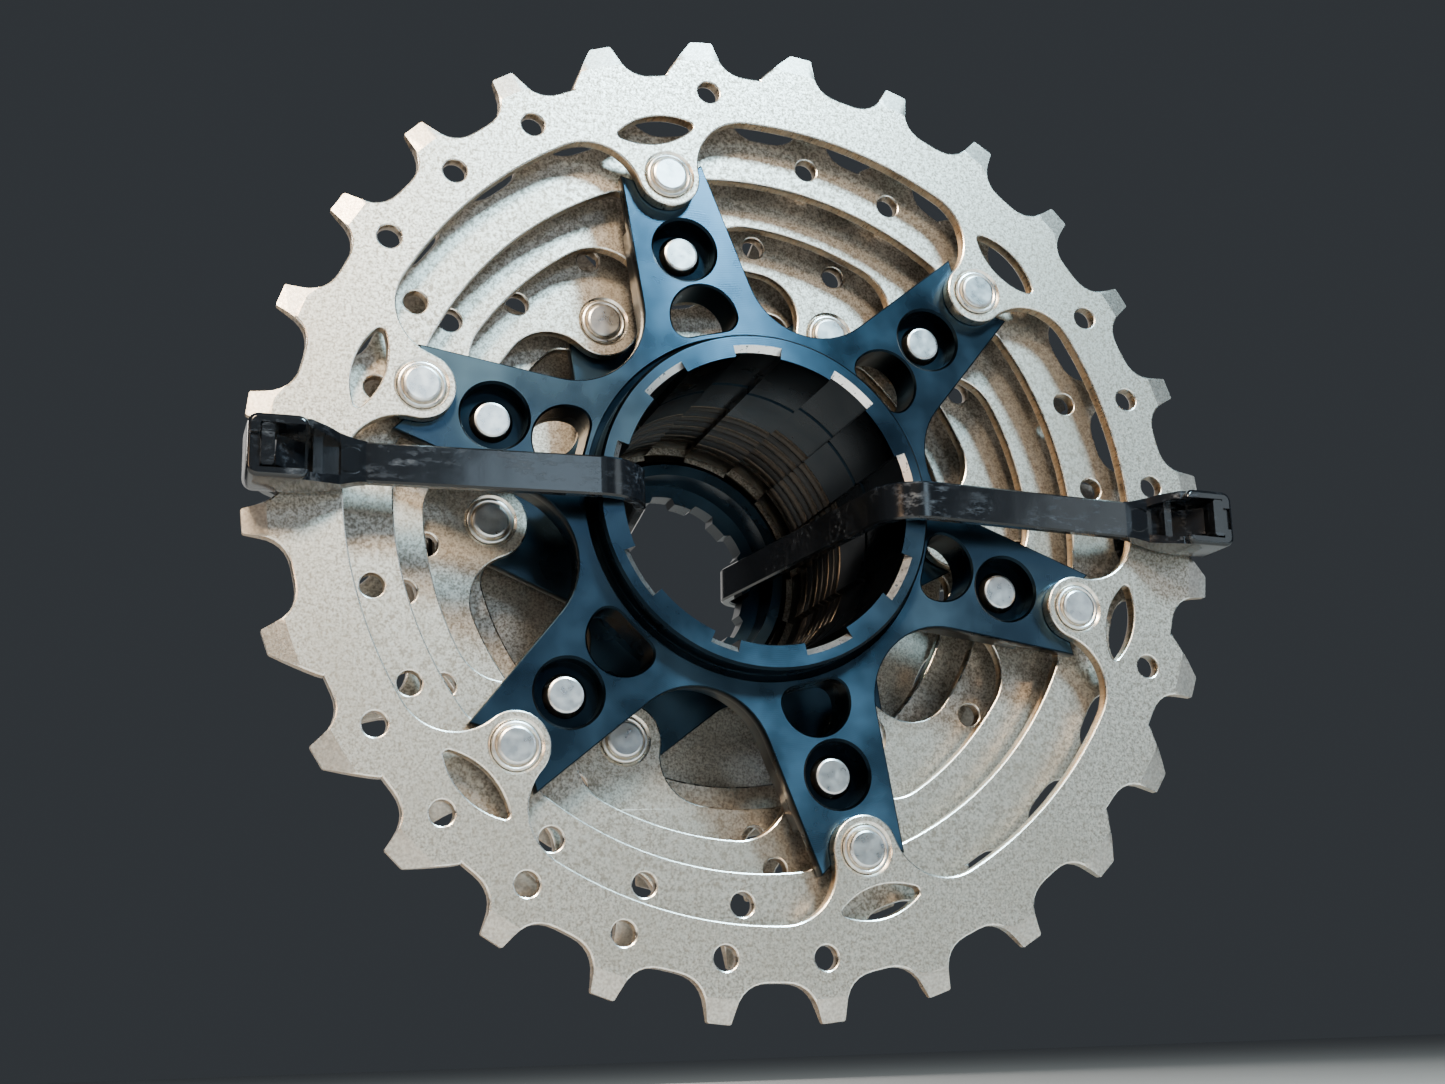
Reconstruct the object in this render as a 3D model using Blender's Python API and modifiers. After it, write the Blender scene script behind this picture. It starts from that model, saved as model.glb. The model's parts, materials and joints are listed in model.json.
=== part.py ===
"""Road bicycle cassette with eleven sprockets, 28 to 11 teeth, tied shut for storage.

The three largest sprockets are riveted to one six-armed carrier and the next two to another. The
other six are loose, held apart by spacers or by their own bosses, and the lockring closes the
small end. Two cable ties run through the bore and round the outside, and hold the stack together.

Everything is modelled on the axle. Its local +Z points out of the large end, and the empty named
axle turns that to the row's -Y. A depth is measured from the outer face of the 28-tooth sprocket
into the stack, so it is a negative local Z.
"""

from math import acos, atan2, cos, hypot, pi, radians, sin, sqrt

import bmesh
import bpy
from mathutils import Matrix, Vector

MM = 0.001

# Teeth
CHAIN_PITCH = 12.7 * MM
SEAT_BOTTOM = 4.05 * MM  # below the pitch circle
SEAT_HALF_FLAT = 1.2 * MM
TIP_HALF_WIDTH = 1.28 * MM
FLANK = (1.7 * MM, 1.75 * MM)  # a tooth's half-width where its flank starts to curve, and how far down
RAMPED_FLANK = (2.7 * MM, 1.6 * MM)
RAMPED = {28: (6, 7, 8, 15, 16, 17, 24, 25, 26, 27)}  # teeth whose later flank slopes
TIP_RISE = 0.35 * MM  # of the 28-tooth sprocket's tips above its pitch circle
TIP_RISE_PER_TOOTH = 0.04 * MM  # more for each tooth fewer

# Stack
LARGEST = 28
STEP = 3.74 * MM  # from one sprocket's face to the next
PLATE = 1.6 * MM
GAP = 0.3 * MM
ORDER = (28, 25, 23, 21, 19, 17, 15, 14, 13, 12, 11)
FIRST_TOOTH = {
    28: 5.7, 25: 7.0, 23: 7.3, 21: 15.1, 19: 4.0, 17: 2.0,
    15: 9.0, 14: 5.0, 13: 12.0, 12: 3.0, 11: 8.0,
}

# Splined bore that the freehub body fills
SPLINES = 9
SPLINE_MAJOR = 17.45 * MM
SPLINE_MINOR = 16.6 * MM
SPLINE_HALF = radians(9.3)
SPLINE_NARROW_HALF = radians(5.2)
SPLINE_NARROW_INDEX = 4
SPLINE_FIRST = radians(91.7)
SMALLEST_MAJOR = 16.5 * MM
SMALLEST_MINOR = 15.8 * MM

# Riveted rings: inner radius, and the tabs that the rivets go through
ARMS = 6
LARGE_PHASE = radians(-15.26)
SMALL_PHASE = radians(1.9)
OUTER_RIVETS = 40.0 * MM
INNER_RIVETS = 31.4 * MM
SMALL_RIVETS = 28.8 * MM
RINGS = {
    28: {"ring": 46.7 * MM, "circle": OUTER_RIVETS, "tab": 3.75 * MM, "fillet": 6.2 * MM},
    25: {"ring": 40.9 * MM, "circle": OUTER_RIVETS, "tab": 3.75 * MM, "fillet": 2.4 * MM},
    23: {"ring": 37.0 * MM, "circle": INNER_RIVETS, "tab": 3.75 * MM, "fillet": 6.0 * MM},
    21: {"ring": 33.0 * MM, "circle": SMALL_RIVETS, "tab": 4.3 * MM, "fillet": 5.5 * MM},
    19: {"ring": 30.0 * MM, "circle": SMALL_RIVETS, "tab": 4.0 * MM, "fillet": 2.6 * MM},
}

# Drilled holes, one below some of the teeth, and the lens slots of the 28-tooth ring
HOLE_RADIUS = 1.33 * MM
HOLE_BELOW_PITCH = 6.35 * MM
DRILLED = {
    28: (0, 1, 2, 7, 9, 10, 11, 16, 17, 18, 19, 20, 21, 26),
    25: (0, 1, 4, 5, 10, 11, 13, 14, 16, 17, 18),
    23: (9, 12, 13, 17),
    21: (1, 3, 4, 6, 7, 9, 10, 12, 13, 15, 16, 18, 19),
}
LENS_CIRCLE = 45.8 * MM
LENS_HALF_LENGTH = 4.5 * MM
LENS_HALF_WIDTH = 1.65 * MM

# Carriers
ARM_FACE = 1.75 * MM
COLLAR_RADIUS = 19.5 * MM
COLLAR_PROUD = 1.2 * MM
LARGE_HUB_END = 9.9 * MM
SMALL_HUB_END = 18.4 * MM
LARGE_ARMS = {
    "horn": (41.5 * MM, 5.1 * MM),
    "boss": (OUTER_RIVETS, 3.6 * MM),
    "root": 22.1 * MM,
    "fillet": 8.6 * MM,
}
LARGE_ARM_BACKS = {"horn": (36.0 * MM, 4.9 * MM), "boss": None, "root": 21.5 * MM, "fillet": 9.2 * MM}
SMALL_ARMS = {
    "horn": (29.2 * MM, 4.2 * MM),
    "boss": (SMALL_RIVETS, 3.4 * MM),
    "root": 20.8 * MM,
    "fillet": 4.8 * MM,
}
COUNTERBORE_RADIUS = 3.75 * MM
COUNTERBORE_FLOOR = 3.9 * MM
D_HOLE_RADIUS = 4.0 * MM
D_HOLE_CENTRE = 22.9 * MM
D_HOLE_FLAT = 20.95 * MM
D_HOLE_CORNER = 1.8 * MM

# Rivets
SHANK_RADIUS = 2.06 * MM
SHANK_HOLE = 2.36 * MM
RIVET_PROUD = 0.5 * MM
RIVET_FLARE = 2.45 * MM
RIVET_FOOT = 3.0 * MM
RIVET_FOOT_HEIGHT = 0.6 * MM
COUNTERSINK_RADIUS = 3.05 * MM
COUNTERSINK_DEPTH = 0.9 * MM

# Spacers and lockring
SPACER_OUTER = 19.8 * MM
TWELVE_BOSS = 19.6 * MM
ELEVEN_BOSS = 17.9 * MM
LOCKRING_FLANGE = 17.6 * MM
LOCKRING_THICK = 1.8 * MM
LOCKRING_SLEEVE = 15.2 * MM
LOCKRING_SLEEVE_BORE = 13.3 * MM
LOCKRING_SLEEVE_END = 33.6 * MM
LOCKRING_WEB = 3.3 * MM  # depth of the tool's splines
TOOL_SPLINES = 12
TOOL_MAJOR = 11.7 * MM
TOOL_MINOR = 10.95 * MM
WASHER_INNER = 15.55 * MM
WASHER_OUTER = 17.4 * MM
WASHER_THICK = 0.4 * MM

# Cable ties. U runs outward from the axle and Z out of the large end.
STRAP_WIDTH = 4.4 * MM
STRAP_THICK = 1.3 * MM
TAIL_END = 6.3 * MM
HEAD_U = (50.8 * MM, 57.0 * MM)
HEAD_Z = (0.4 * MM, 6.1 * MM)
HEAD_WIDTH = 6.7 * MM
SLOT_U = (52.2 * MM, 55.9 * MM)
SLOT_WIDTH = 5.0 * MM
NECK_END = 44.6 * MM
TIE_YAW = {"left": radians(180), "right": radians(-1.2)}
TIE_OFFSET = {"left": 0.65 * MM, "right": 0.83 * MM}

# Facets of round shapes
HOLE_SIDES = 8
RIVET_SIDES = 10
RING_STEPS = 5
TURNED_SIDES = 36

CASSETTE = bpy.data.collections.new("cassette")
CUTTERS = bpy.data.collections.new("cutters")

SURFACES = {
    "sprocket": {"colour": (0.60, 0.55, 0.48), "roughness": 0.36, "metallic": 1.0},
    "rivet": {"colour": (0.68, 0.67, 0.66), "roughness": 0.30, "metallic": 1.0},
    "carrier": {"colour": (0.030, 0.040, 0.055), "roughness": 0.33, "metallic": 0.7},
    "spacer": {"colour": (0.035, 0.036, 0.040), "roughness": 0.45, "metallic": 0.5},
    "lockring": {"colour": (0.040, 0.042, 0.048), "roughness": 0.35, "metallic": 0.7},
    "washer": {"colour": (0.62, 0.61, 0.60), "roughness": 0.40, "metallic": 1.0},
    "tie": {"colour": (0.012, 0.012, 0.013), "roughness": 0.28, "metallic": 0.0},
}


def clear_scene():
    for thing in list(bpy.data.objects):
        bpy.data.objects.remove(thing)
    for collection in (CASSETTE, CUTTERS):
        bpy.context.scene.collection.children.link(collection)


def make_axle():
    """The empty that every piece is parented to, standing on the joints' axis."""
    axle = bpy.data.objects.new("axle", None)
    axle.rotation_euler = (pi / 2, 0, 0)
    CASSETTE.objects.link(axle)
    return axle


def make_surface(name, kind):
    surface = bpy.data.materials.new(name)
    surface.use_nodes = True
    shader = surface.node_tree.nodes["Principled BSDF"]
    shader.inputs["Base Color"].default_value = (*SURFACES[kind]["colour"], 1)
    shader.inputs["Roughness"].default_value = SURFACES[kind]["roughness"]
    shader.inputs["Metallic"].default_value = SURFACES[kind]["metallic"]
    return surface


# Outlines, as lists of (x, y) on a plane across the axle


def polar(radius, angle):
    return radius * cos(angle), radius * sin(angle)


def arc(centre, radius, start, end, steps):
    """Points from start to end on a circle, both ends included."""
    angles = [start + (end - start) * i / steps for i in range(steps + 1)]
    return [(centre[0] + radius * cos(a), centre[1] + radius * sin(a)) for a in angles]


def circle(centre, radius, sides):
    return arc(centre, radius, 0, 2 * pi * (1 - 1 / sides), sides - 1)


def turned_by(points, angle):
    c, s = cos(angle), sin(angle)
    return [(x * c - y * s, x * s + y * c) for x, y in points]


def pitch_radius(teeth):
    return CHAIN_PITCH / 2 / sin(pi / teeth)


def tip_radius(teeth):
    return pitch_radius(teeth) + TIP_RISE + TIP_RISE_PER_TOOTH * (LARGEST - teeth)


def flank(teeth, tooth, side, shape):
    """A tooth's side, from the corner of its tip to the flat bottom of the seat beside it."""
    tip = tip_radius(teeth)
    width, drop = shape
    corner = Vector(polar(tip, tooth + side * TIP_HALF_WIDTH / tip))
    start = Vector(polar(tip - drop, tooth + side * width / (tip - drop)))
    middle = tooth + side * pi / teeth
    bottom_radius = pitch_radius(teeth) - SEAT_BOTTOM
    bottom = Vector(polar(bottom_radius, middle - side * SEAT_HALF_FLAT / bottom_radius))
    outward = Vector(polar(1, middle))
    reach = (bottom - corner).dot(outward) / (start - corner).dot(outward)
    bend = corner + (start - corner) * reach
    halfway = (start + 2 * bend + bottom) / 4
    return [tuple(point) for point in (corner, start, halfway, bottom)]


def tooth_outline(teeth):
    """Flat-tipped teeth with a roller seat between each two."""
    points = []
    for i in range(teeth):
        tooth = radians(FIRST_TOOTH[teeth]) + 2 * pi * i / teeth
        later = RAMPED_FLANK if i in RAMPED.get(teeth, ()) else FLANK
        points += reversed(flank(teeth, tooth, -1, FLANK))
        points += flank(teeth, tooth, 1, later)
    return points


def spline_outline(major=SPLINE_MAJOR, minor=SPLINE_MINOR):
    """The bore: nine notches for the freehub's splines, one of them narrower."""
    points = []
    for i in range(SPLINES):
        middle = SPLINE_FIRST + 2 * pi * i / SPLINES
        half = SPLINE_NARROW_HALF if i == SPLINE_NARROW_INDEX else SPLINE_HALF
        following = SPLINE_FIRST + 2 * pi * (i + 1) / SPLINES
        next_half = SPLINE_NARROW_HALF if i + 1 == SPLINE_NARROW_INDEX else SPLINE_HALF
        points += arc((0, 0), major, middle - half, middle + half, 2)
        points += arc((0, 0), minor, middle + half, following - next_half, 2)
    return points


def tool_outline():
    """The lockring's bore, with the small splines that its tool turns."""
    points = []
    pitch = 2 * pi / TOOL_SPLINES
    for i in range(TOOL_SPLINES):
        notch = pitch * i
        points += arc((0, 0), TOOL_MAJOR, notch - pitch / 4, notch + pitch / 4, 1)
        points.append(polar(TOOL_MINOR, notch + pitch / 2))
    return points


def tabbed_opening(ring, circle, tab, fillet, phase):
    """The inside of a riveted ring: a circle with rounded tabs that reach in to the rivets."""
    to_fillet, tab_to_fillet = ring - fillet, tab + fillet
    along = (to_fillet**2 + circle**2 - tab_to_fillet**2) / 2 / circle
    across = sqrt(to_fillet**2 - along**2)
    shoulder = atan2(across, along)
    towards_tab = atan2(across, circle - along)
    points = []
    for i in range(ARMS):
        one = arc((along, -across), fillet, -shoulder, towards_tab, RING_STEPS - 1)
        one += arc((circle, 0), tab, towards_tab - pi, -towards_tab - pi, RING_STEPS + 1)[1:-1]
        one += arc((along, across), fillet, -towards_tab, shoulder, RING_STEPS - 1)
        one += arc((0, 0), ring, shoulder, 2 * pi / ARMS - shoulder, RING_STEPS)[1:-1]
        points += turned_by(one, phase + 2 * pi * i / ARMS)
    return points


def arm_outline(horn, boss, root, fillet, phase):
    """Six arms with rounded crotches. Each ends in two horns, with a round boss between them."""
    half = pi / ARMS
    crotch = polar(root + fillet, -half)
    reach = (horn[0] - crotch[0], -horn[1] - crotch[1])
    tangent = atan2(reach[1], reach[0]) + acos(fillet / hypot(*reach))
    crotch_steps = RING_STEPS - 1
    points = []
    for i in range(ARMS):
        one = arc(crotch, fillet, pi - half, tangent, crotch_steps)
        one.append((horn[0], -horn[1]))
        if boss:
            one += arc((boss[0], 0), boss[1], radians(-80), radians(80), RING_STEPS)
        one.append(horn)
        one += arc((crotch[0], -crotch[1]), fillet, -tangent, half - pi, crotch_steps)[:-1]
        points += turned_by(one, phase + 2 * pi * i / ARMS)
    return points


def lens_outline(angle):
    """A slot with two arcs for sides."""
    bulge = (LENS_HALF_LENGTH**2 + LENS_HALF_WIDTH**2) / 2 / LENS_HALF_WIDTH
    reach = acos((bulge - LENS_HALF_WIDTH) / bulge)
    centre = LENS_CIRCLE - bulge + LENS_HALF_WIDTH
    side = arc((centre, 0), bulge, -reach, reach, 4)
    other = [(2 * LENS_CIRCLE - x, -y) for x, y in side]
    return turned_by(side[:-1] + other[:-1], angle)


def d_outline(angle):
    """A round hole with a flat side towards the hub."""
    corner = D_HOLE_RADIUS - D_HOLE_CORNER
    low = D_HOLE_FLAT + D_HOLE_CORNER
    points = arc((D_HOLE_CENTRE, 0), D_HOLE_RADIUS, -pi / 2, pi / 2, 8)
    points += arc((low, corner), D_HOLE_CORNER, pi / 2, pi, 2)
    points += arc((low, -corner), D_HOLE_CORNER, pi, 3 * pi / 2, 2)
    return turned_by(points, angle)


def arm_angles(phase):
    return [phase + 2 * pi * i / ARMS for i in range(ARMS)]


# Solids


def add(name, mesh, axle, kind, depth=0.0):
    piece = bpy.data.objects.new(name, mesh)
    piece.location = (0, 0, -depth)
    piece.parent = axle
    if kind:
        piece.data.materials.append(make_surface(name, kind))
        CASSETTE.objects.link(piece)
    else:
        piece.hide_render = True
        piece.display_type = "WIRE"
        CUTTERS.objects.link(piece)
    return piece


def extruded(outlines, thickness):
    """A mesh of flat outlines given thickness, the first outline outside and the others holes."""
    curve = bpy.data.curves.new("outline", "CURVE")
    curve.dimensions = "2D"
    curve.fill_mode = "BOTH"
    curve.extrude = thickness / 2
    for outline in outlines:
        spline = curve.splines.new("POLY")
        spline.points.add(len(outline) - 1)
        spline.use_cyclic_u = True
        for point, (x, y) in zip(spline.points, outline):
            point.co = (x, y, 0, 1)
    drawn = bpy.data.objects.new("outline", curve)
    CUTTERS.objects.link(drawn)
    graph = bpy.context.evaluated_depsgraph_get()
    mesh = bpy.data.meshes.new_from_object(drawn.evaluated_get(graph))
    bpy.data.objects.remove(drawn)
    mesh.materials.clear()
    return welded(mesh)


def welded(mesh):
    shape = bmesh.new()
    shape.from_mesh(mesh)
    bmesh.ops.remove_doubles(shape, verts=shape.verts, dist=1e-6)
    bmesh.ops.recalc_face_normals(shape, faces=shape.faces)
    shape.to_mesh(mesh)
    shape.free()
    return mesh


def plate(name, outlines, depth, thickness, axle, kind=None):
    return add(name, extruded(outlines, thickness), axle, kind, depth + thickness / 2)


def turned(name, profile, axle, kind, depth=0.0):
    """A closed profile of (radius, z) spun round the axle, from the top of its outer side down."""
    mesh = bpy.data.meshes.new(name)
    edges = [(i, (i + 1) % len(profile)) for i in range(len(profile))]
    mesh.from_pydata([(r, 0, z) for r, z in profile], edges, [])
    piece = add(name, mesh, axle, kind, depth)
    screw = piece.modifiers.new("spin", "SCREW")
    screw.steps = screw.render_steps = TURNED_SIDES
    screw.use_merge_vertices = True
    screw.merge_threshold = 0.0001 * MM
    return piece


def drills(name, holes, radius, depths, axle, mouth_radius=None, sides=HOLE_SIDES):
    """One cutter that holds a pin through each (x, y), from one depth to another."""
    shape = bmesh.new()
    top, bottom = -depths[0], -depths[1]
    for x, y in holes:
        bmesh.ops.create_cone(
            shape,
            cap_ends=True,
            segments=sides,
            radius1=radius,
            radius2=mouth_radius or radius,
            depth=top - bottom,
            matrix=Matrix.Translation((x, y, (top + bottom) / 2)),
        )
    mesh = bpy.data.meshes.new(name)
    shape.to_mesh(mesh)
    shape.free()
    return add(name, mesh, axle, None)


def combine(piece, tool, operation="DIFFERENCE"):
    modifier = piece.modifiers.new(tool.name, "BOOLEAN")
    modifier.operation = operation
    modifier.object = tool
    return piece


# Sprockets


def depth_of(teeth):
    return STEP * ORDER.index(teeth)


def drilled_outlines(teeth):
    circle_radius = pitch_radius(teeth) - HOLE_BELOW_PITCH
    first = radians(FIRST_TOOTH[teeth])
    angles = [first + 2 * pi * i / teeth for i in DRILLED.get(teeth, ())]
    return [circle(polar(circle_radius, a), HOLE_RADIUS, HOLE_SIDES) for a in angles]


def riveted_sprocket(teeth, phase, axle):
    """A toothed ring with tabs, open in the middle, for one of the carriers."""
    ring = RINGS[teeth]
    holes = [circle(polar(ring["circle"], a), SHANK_HOLE, RIVET_SIDES) for a in arm_angles(phase)]
    outlines = [tooth_outline(teeth), tabbed_opening(**ring, phase=phase)]
    outlines += holes + drilled_outlines(teeth)
    if teeth == LARGEST:
        outlines += [lens_outline(a) for a in arm_angles(phase)]
    name = f"sprocket_{teeth}t"
    piece = plate(name, outlines, depth_of(teeth), PLATE, axle, "sprocket")
    return countersunk(piece, teeth, phase, axle) if teeth == LARGEST else piece


def countersunk(piece, teeth, phase, axle):
    """Dishes the front of the rivet holes."""
    middles = [polar(RINGS[teeth]["circle"], a) for a in arm_angles(phase)]
    above = 0.2 * MM
    slope = (COUNTERSINK_RADIUS - SHANK_HOLE) / COUNTERSINK_DEPTH
    face = depth_of(teeth)
    cutter = drills(
        f"dishes_{teeth}t",
        middles,
        SHANK_HOLE - 0.01 * MM,
        (face - above, face + COUNTERSINK_DEPTH),
        axle,
        mouth_radius=COUNTERSINK_RADIUS + above * slope,
        sides=2 * RIVET_SIDES,
    )
    return combine(piece, cutter)


def loose_sprocket(teeth, axle):
    """A sprocket with its own splined bore."""
    name = f"sprocket_{teeth}t"
    outlines = [tooth_outline(teeth), spline_outline()]
    return plate(name, outlines, depth_of(teeth), PLATE, axle, "sprocket")


def bossed_sprocket(teeth, boss_radius, bore, axle):
    """A small sprocket whose boss stands it off the one before it."""
    name = f"sprocket_{teeth}t"
    face = depth_of(teeth)
    piece = plate(name, [tooth_outline(teeth)], face, PLATE, axle, "sprocket")
    boss_start = face - STEP + PLATE + GAP
    overlap = PLATE / 2
    disc = [circle((0, 0), boss_radius, TURNED_SIDES)]
    boss = plate(f"boss_{teeth}t", disc, boss_start, face - boss_start + overlap, axle)
    combine(piece, boss, "UNION")
    margin = 1 * MM
    through = STEP + 2 * margin
    cutter = plate(f"bore_{teeth}t", [bore], boss_start - margin, through, axle)
    return combine(piece, cutter)


# Carriers


def bored(piece, label, depths, axle):
    margin = 1 * MM
    through = depths[1] - depths[0] + 2 * margin
    return combine(piece, plate(f"bore_{label}", [spline_outline()], depths[0] - margin, through, axle))


def large_spider(axle):
    """The carrier of the 28, 25 and 23: thin at the arms' ends, and deeper behind the inner rivets."""
    front_end = depth_of(25) - GAP
    back_end = depth_of(23) - GAP
    arms = plate(
        "large_spider",
        [arm_outline(**LARGE_ARMS, phase=LARGE_PHASE)],
        ARM_FACE,
        front_end - ARM_FACE,
        axle,
        "carrier",
    )
    backs = [arm_outline(**LARGE_ARM_BACKS, phase=LARGE_PHASE)]
    overlap = 0.5 * MM
    back_start = front_end - overlap
    combine(arms, plate("arm_backs", backs, back_start, back_end - back_start, axle), "UNION")
    disc = [circle((0, 0), COLLAR_RADIUS, TURNED_SIDES)]
    hub = plate("large_hub", disc, -COLLAR_PROUD, COLLAR_PROUD + LARGE_HUB_END, axle)
    combine(arms, hub, "UNION")
    angles = arm_angles(LARGE_PHASE)
    inner = [polar(INNER_RIVETS, a) for a in angles]
    outer = [polar(OUTER_RIVETS, a) for a in angles]
    beyond = 12 * MM
    combine(arms, drills("counterbores", inner, COUNTERBORE_RADIUS, (0, COUNTERBORE_FLOOR), axle, sides=16))
    combine(arms, drills("rivet_holes", inner + outer, SHANK_HOLE, (0, beyond), axle, sides=RIVET_SIDES))
    combine(arms, plate("d_holes", [d_outline(a) for a in angles], 0, beyond, axle))
    return bored(arms, "large", (-COLLAR_PROUD, LARGE_HUB_END), axle)


def small_spider(axle):
    """The carrier of the 21 and 19."""
    start = depth_of(21) + PLATE + GAP
    end = depth_of(19) - GAP
    arms = plate(
        "small_spider",
        [arm_outline(**SMALL_ARMS, phase=SMALL_PHASE)],
        start,
        end - start,
        axle,
        "carrier",
    )
    hub_start = LARGE_HUB_END + GAP
    disc = [circle((0, 0), COLLAR_RADIUS, TURNED_SIDES)]
    combine(arms, plate("small_hub", disc, hub_start, SMALL_HUB_END - hub_start, axle), "UNION")
    middles = [polar(SMALL_RIVETS, a) for a in arm_angles(SMALL_PHASE)]
    through = (hub_start, SMALL_HUB_END)
    holes = drills("small_rivet_holes", middles, SHANK_HOLE, through, axle, sides=RIVET_SIDES)
    combine(arms, holes)
    return bored(arms, "small", (hub_start, SMALL_HUB_END), axle)


# Rivets


def rivet_mesh(length, flared):
    """A rivet on its own axis: a flat end, a flare if it sits in a dish, and a wide foot at the back."""
    top, flare, neck = RIVET_PROUD, -0.3 * MM, -0.75 * MM
    profile = [(0, top), (SHANK_RADIUS, top)]
    if flared:
        profile += [(SHANK_RADIUS, flare / 2), (RIVET_FLARE, flare), (SHANK_RADIUS, neck)]
    profile += [
        (SHANK_RADIUS, -length),
        (RIVET_FOOT, -length),
        (RIVET_FOOT, -length - RIVET_FOOT_HEIGHT),
        (0, -length - RIVET_FOOT_HEIGHT),
    ]
    shape = bmesh.new()
    points = [shape.verts.new((r, 0, z)) for r, z in profile]
    edges = [shape.edges.new(pair) for pair in zip(points, points[1:])]
    bmesh.ops.spin(
        shape,
        geom=points + edges,
        cent=(0, 0, 0),
        axis=(0, 0, 1),
        angle=2 * pi,
        steps=RIVET_SIDES,
    )
    mesh = bpy.data.meshes.new("rivet")
    shape.to_mesh(mesh)
    shape.free()
    return welded(mesh)


def rivets(label, circle_radius, phase, face, back, axle, flared=False):
    """Six rivets whose heads stand proud of a face at one depth and whose feet clear the other."""
    mesh = rivet_mesh(back + GAP - face, flared)
    for i, angle in enumerate(arm_angles(phase)):
        rivet = add(f"{label}_rivet_{i + 1}", mesh.copy(), axle, "rivet", face)
        rivet.location.x, rivet.location.y = polar(circle_radius, angle)


# Spacers and lockring


def spacer(before, after, axle):
    start = depth_of(before) + PLATE + GAP
    end = depth_of(after) - GAP
    outlines = [circle((0, 0), SPACER_OUTER, TURNED_SIDES), spline_outline()]
    return plate(f"spacer_{before}_{after}", outlines, start, end - start, axle, "spacer")


def lockring(axle):
    """A flange over the smallest sprocket, and the threaded sleeve that goes inside it."""
    back = depth_of(11) + PLATE + GAP
    turned(
        "lockring_washer",
        [
            (WASHER_OUTER, 0),
            (WASHER_OUTER, -WASHER_THICK),
            (WASHER_INNER, -WASHER_THICK),
            (WASHER_INNER, 0),
        ],
        axle,
        "washer",
        back,
    )
    flange = back + WASHER_THICK + GAP
    outer_face = flange + LOCKRING_THICK
    web = outer_face - LOCKRING_WEB
    ring = turned(
        "lockring",
        [
            (LOCKRING_SLEEVE, -LOCKRING_SLEEVE_END),
            (LOCKRING_SLEEVE, -flange),
            (LOCKRING_FLANGE, -flange),
            (LOCKRING_FLANGE, -outer_face),
            (TOOL_MINOR / 2, -outer_face),
            (TOOL_MINOR / 2, -web),
            (LOCKRING_SLEEVE_BORE, -web),
            (LOCKRING_SLEEVE_BORE, -LOCKRING_SLEEVE_END),
        ],
        axle,
        "lockring",
    )
    margin = 1 * MM
    cutter = plate("tool_bore", [tool_outline()], web - margin, outer_face - web + 2 * margin, axle)
    return combine(ring, cutter)


# Cable ties


def rounded_path(corners, steps=5):
    """A path of (u, z, bend radius) corners, each bend an arc between straight runs."""
    points = [corners[0][:2]]
    for (u0, z0, _), (u1, z1, radius), (u2, z2, _) in zip(corners, corners[1:], corners[2:]):
        into, out = (u1 - u0, z1 - z0), (u2 - u1, z2 - z1)
        start_angle, end_angle = atan2(into[1], into[0]), atan2(out[1], out[0])
        turn = (end_angle - start_angle + pi) % (2 * pi) - pi
        side = 1 if turn > 0 else -1
        run = radius * abs(sin(turn / 2) / cos(turn / 2))
        start = (u1 - run * cos(start_angle), z1 - run * sin(start_angle))
        centre = (start[0] - side * radius * sin(start_angle), start[1] + side * radius * cos(start_angle))
        from_angle = start_angle - side * pi / 2
        points += arc(centre, radius, from_angle, from_angle + turn, steps)
    points.append(corners[-1][:2])
    return points


def band(points, thickness):
    """The outline of a strip with this centre line."""
    left, right = [], []
    for i, (u, z) in enumerate(points):
        before, after = points[max(i - 1, 0)], points[min(i + 1, len(points) - 1)]
        du, dz = after[0] - before[0], after[1] - before[1]
        scale = thickness / 2 / hypot(du, dz)
        left.append((u - dz * scale, z + du * scale))
        right.append((u + dz * scale, z - du * scale))
    return left + right[::-1]


def strap_path():
    """From the neck over the collar, down the bore, round the lockring, up the cone, into the head."""
    collar_top = 3.05 * MM
    lockring_under = -(depth_of(11) + PLATE + 2 * GAP + WASHER_THICK + LOCKRING_THICK) - 1.55 * MM
    tail_u = 54.95 * MM
    return rounded_path(
        [
            (NECK_END + 2 * MM, 1.75 * MM, 0),
            (14.7 * MM, collar_top, 4.0 * MM),
            (8.9 * MM, lockring_under, 3.0 * MM),
            (21.3 * MM, lockring_under, 3.5 * MM),
            (tail_u, -2.8 * MM, 5.0 * MM),
            (tail_u, TAIL_END, 0),
        ]
    )


def block(name, u, z, width, axle, narrow_z=None, narrow_width=None):
    """A box from u[0] to u[1]. Its end at u[0] may be lower and narrower."""
    shape = bmesh.new()
    bmesh.ops.create_cube(shape, size=1)
    for v in shape.verts:
        wide = v.co.x > 0
        bottom, top = z if wide else narrow_z or z
        half = (width if wide else narrow_width or width) / 2
        v.co.x = u[1] if wide else u[0]
        v.co.y = half if v.co.y > 0 else -half
        v.co.z = top if v.co.z > 0 else bottom
    mesh = bpy.data.meshes.new(name)
    shape.to_mesh(mesh)
    shape.free()
    return add(name, mesh, axle, None)


def place_tie(piece, side):
    turn = Matrix.Rotation(TIE_YAW[side], 4, "Z")
    piece.matrix_basis = Matrix.Translation((0, TIE_OFFSET[side], 0)) @ turn @ piece.matrix_basis


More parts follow.
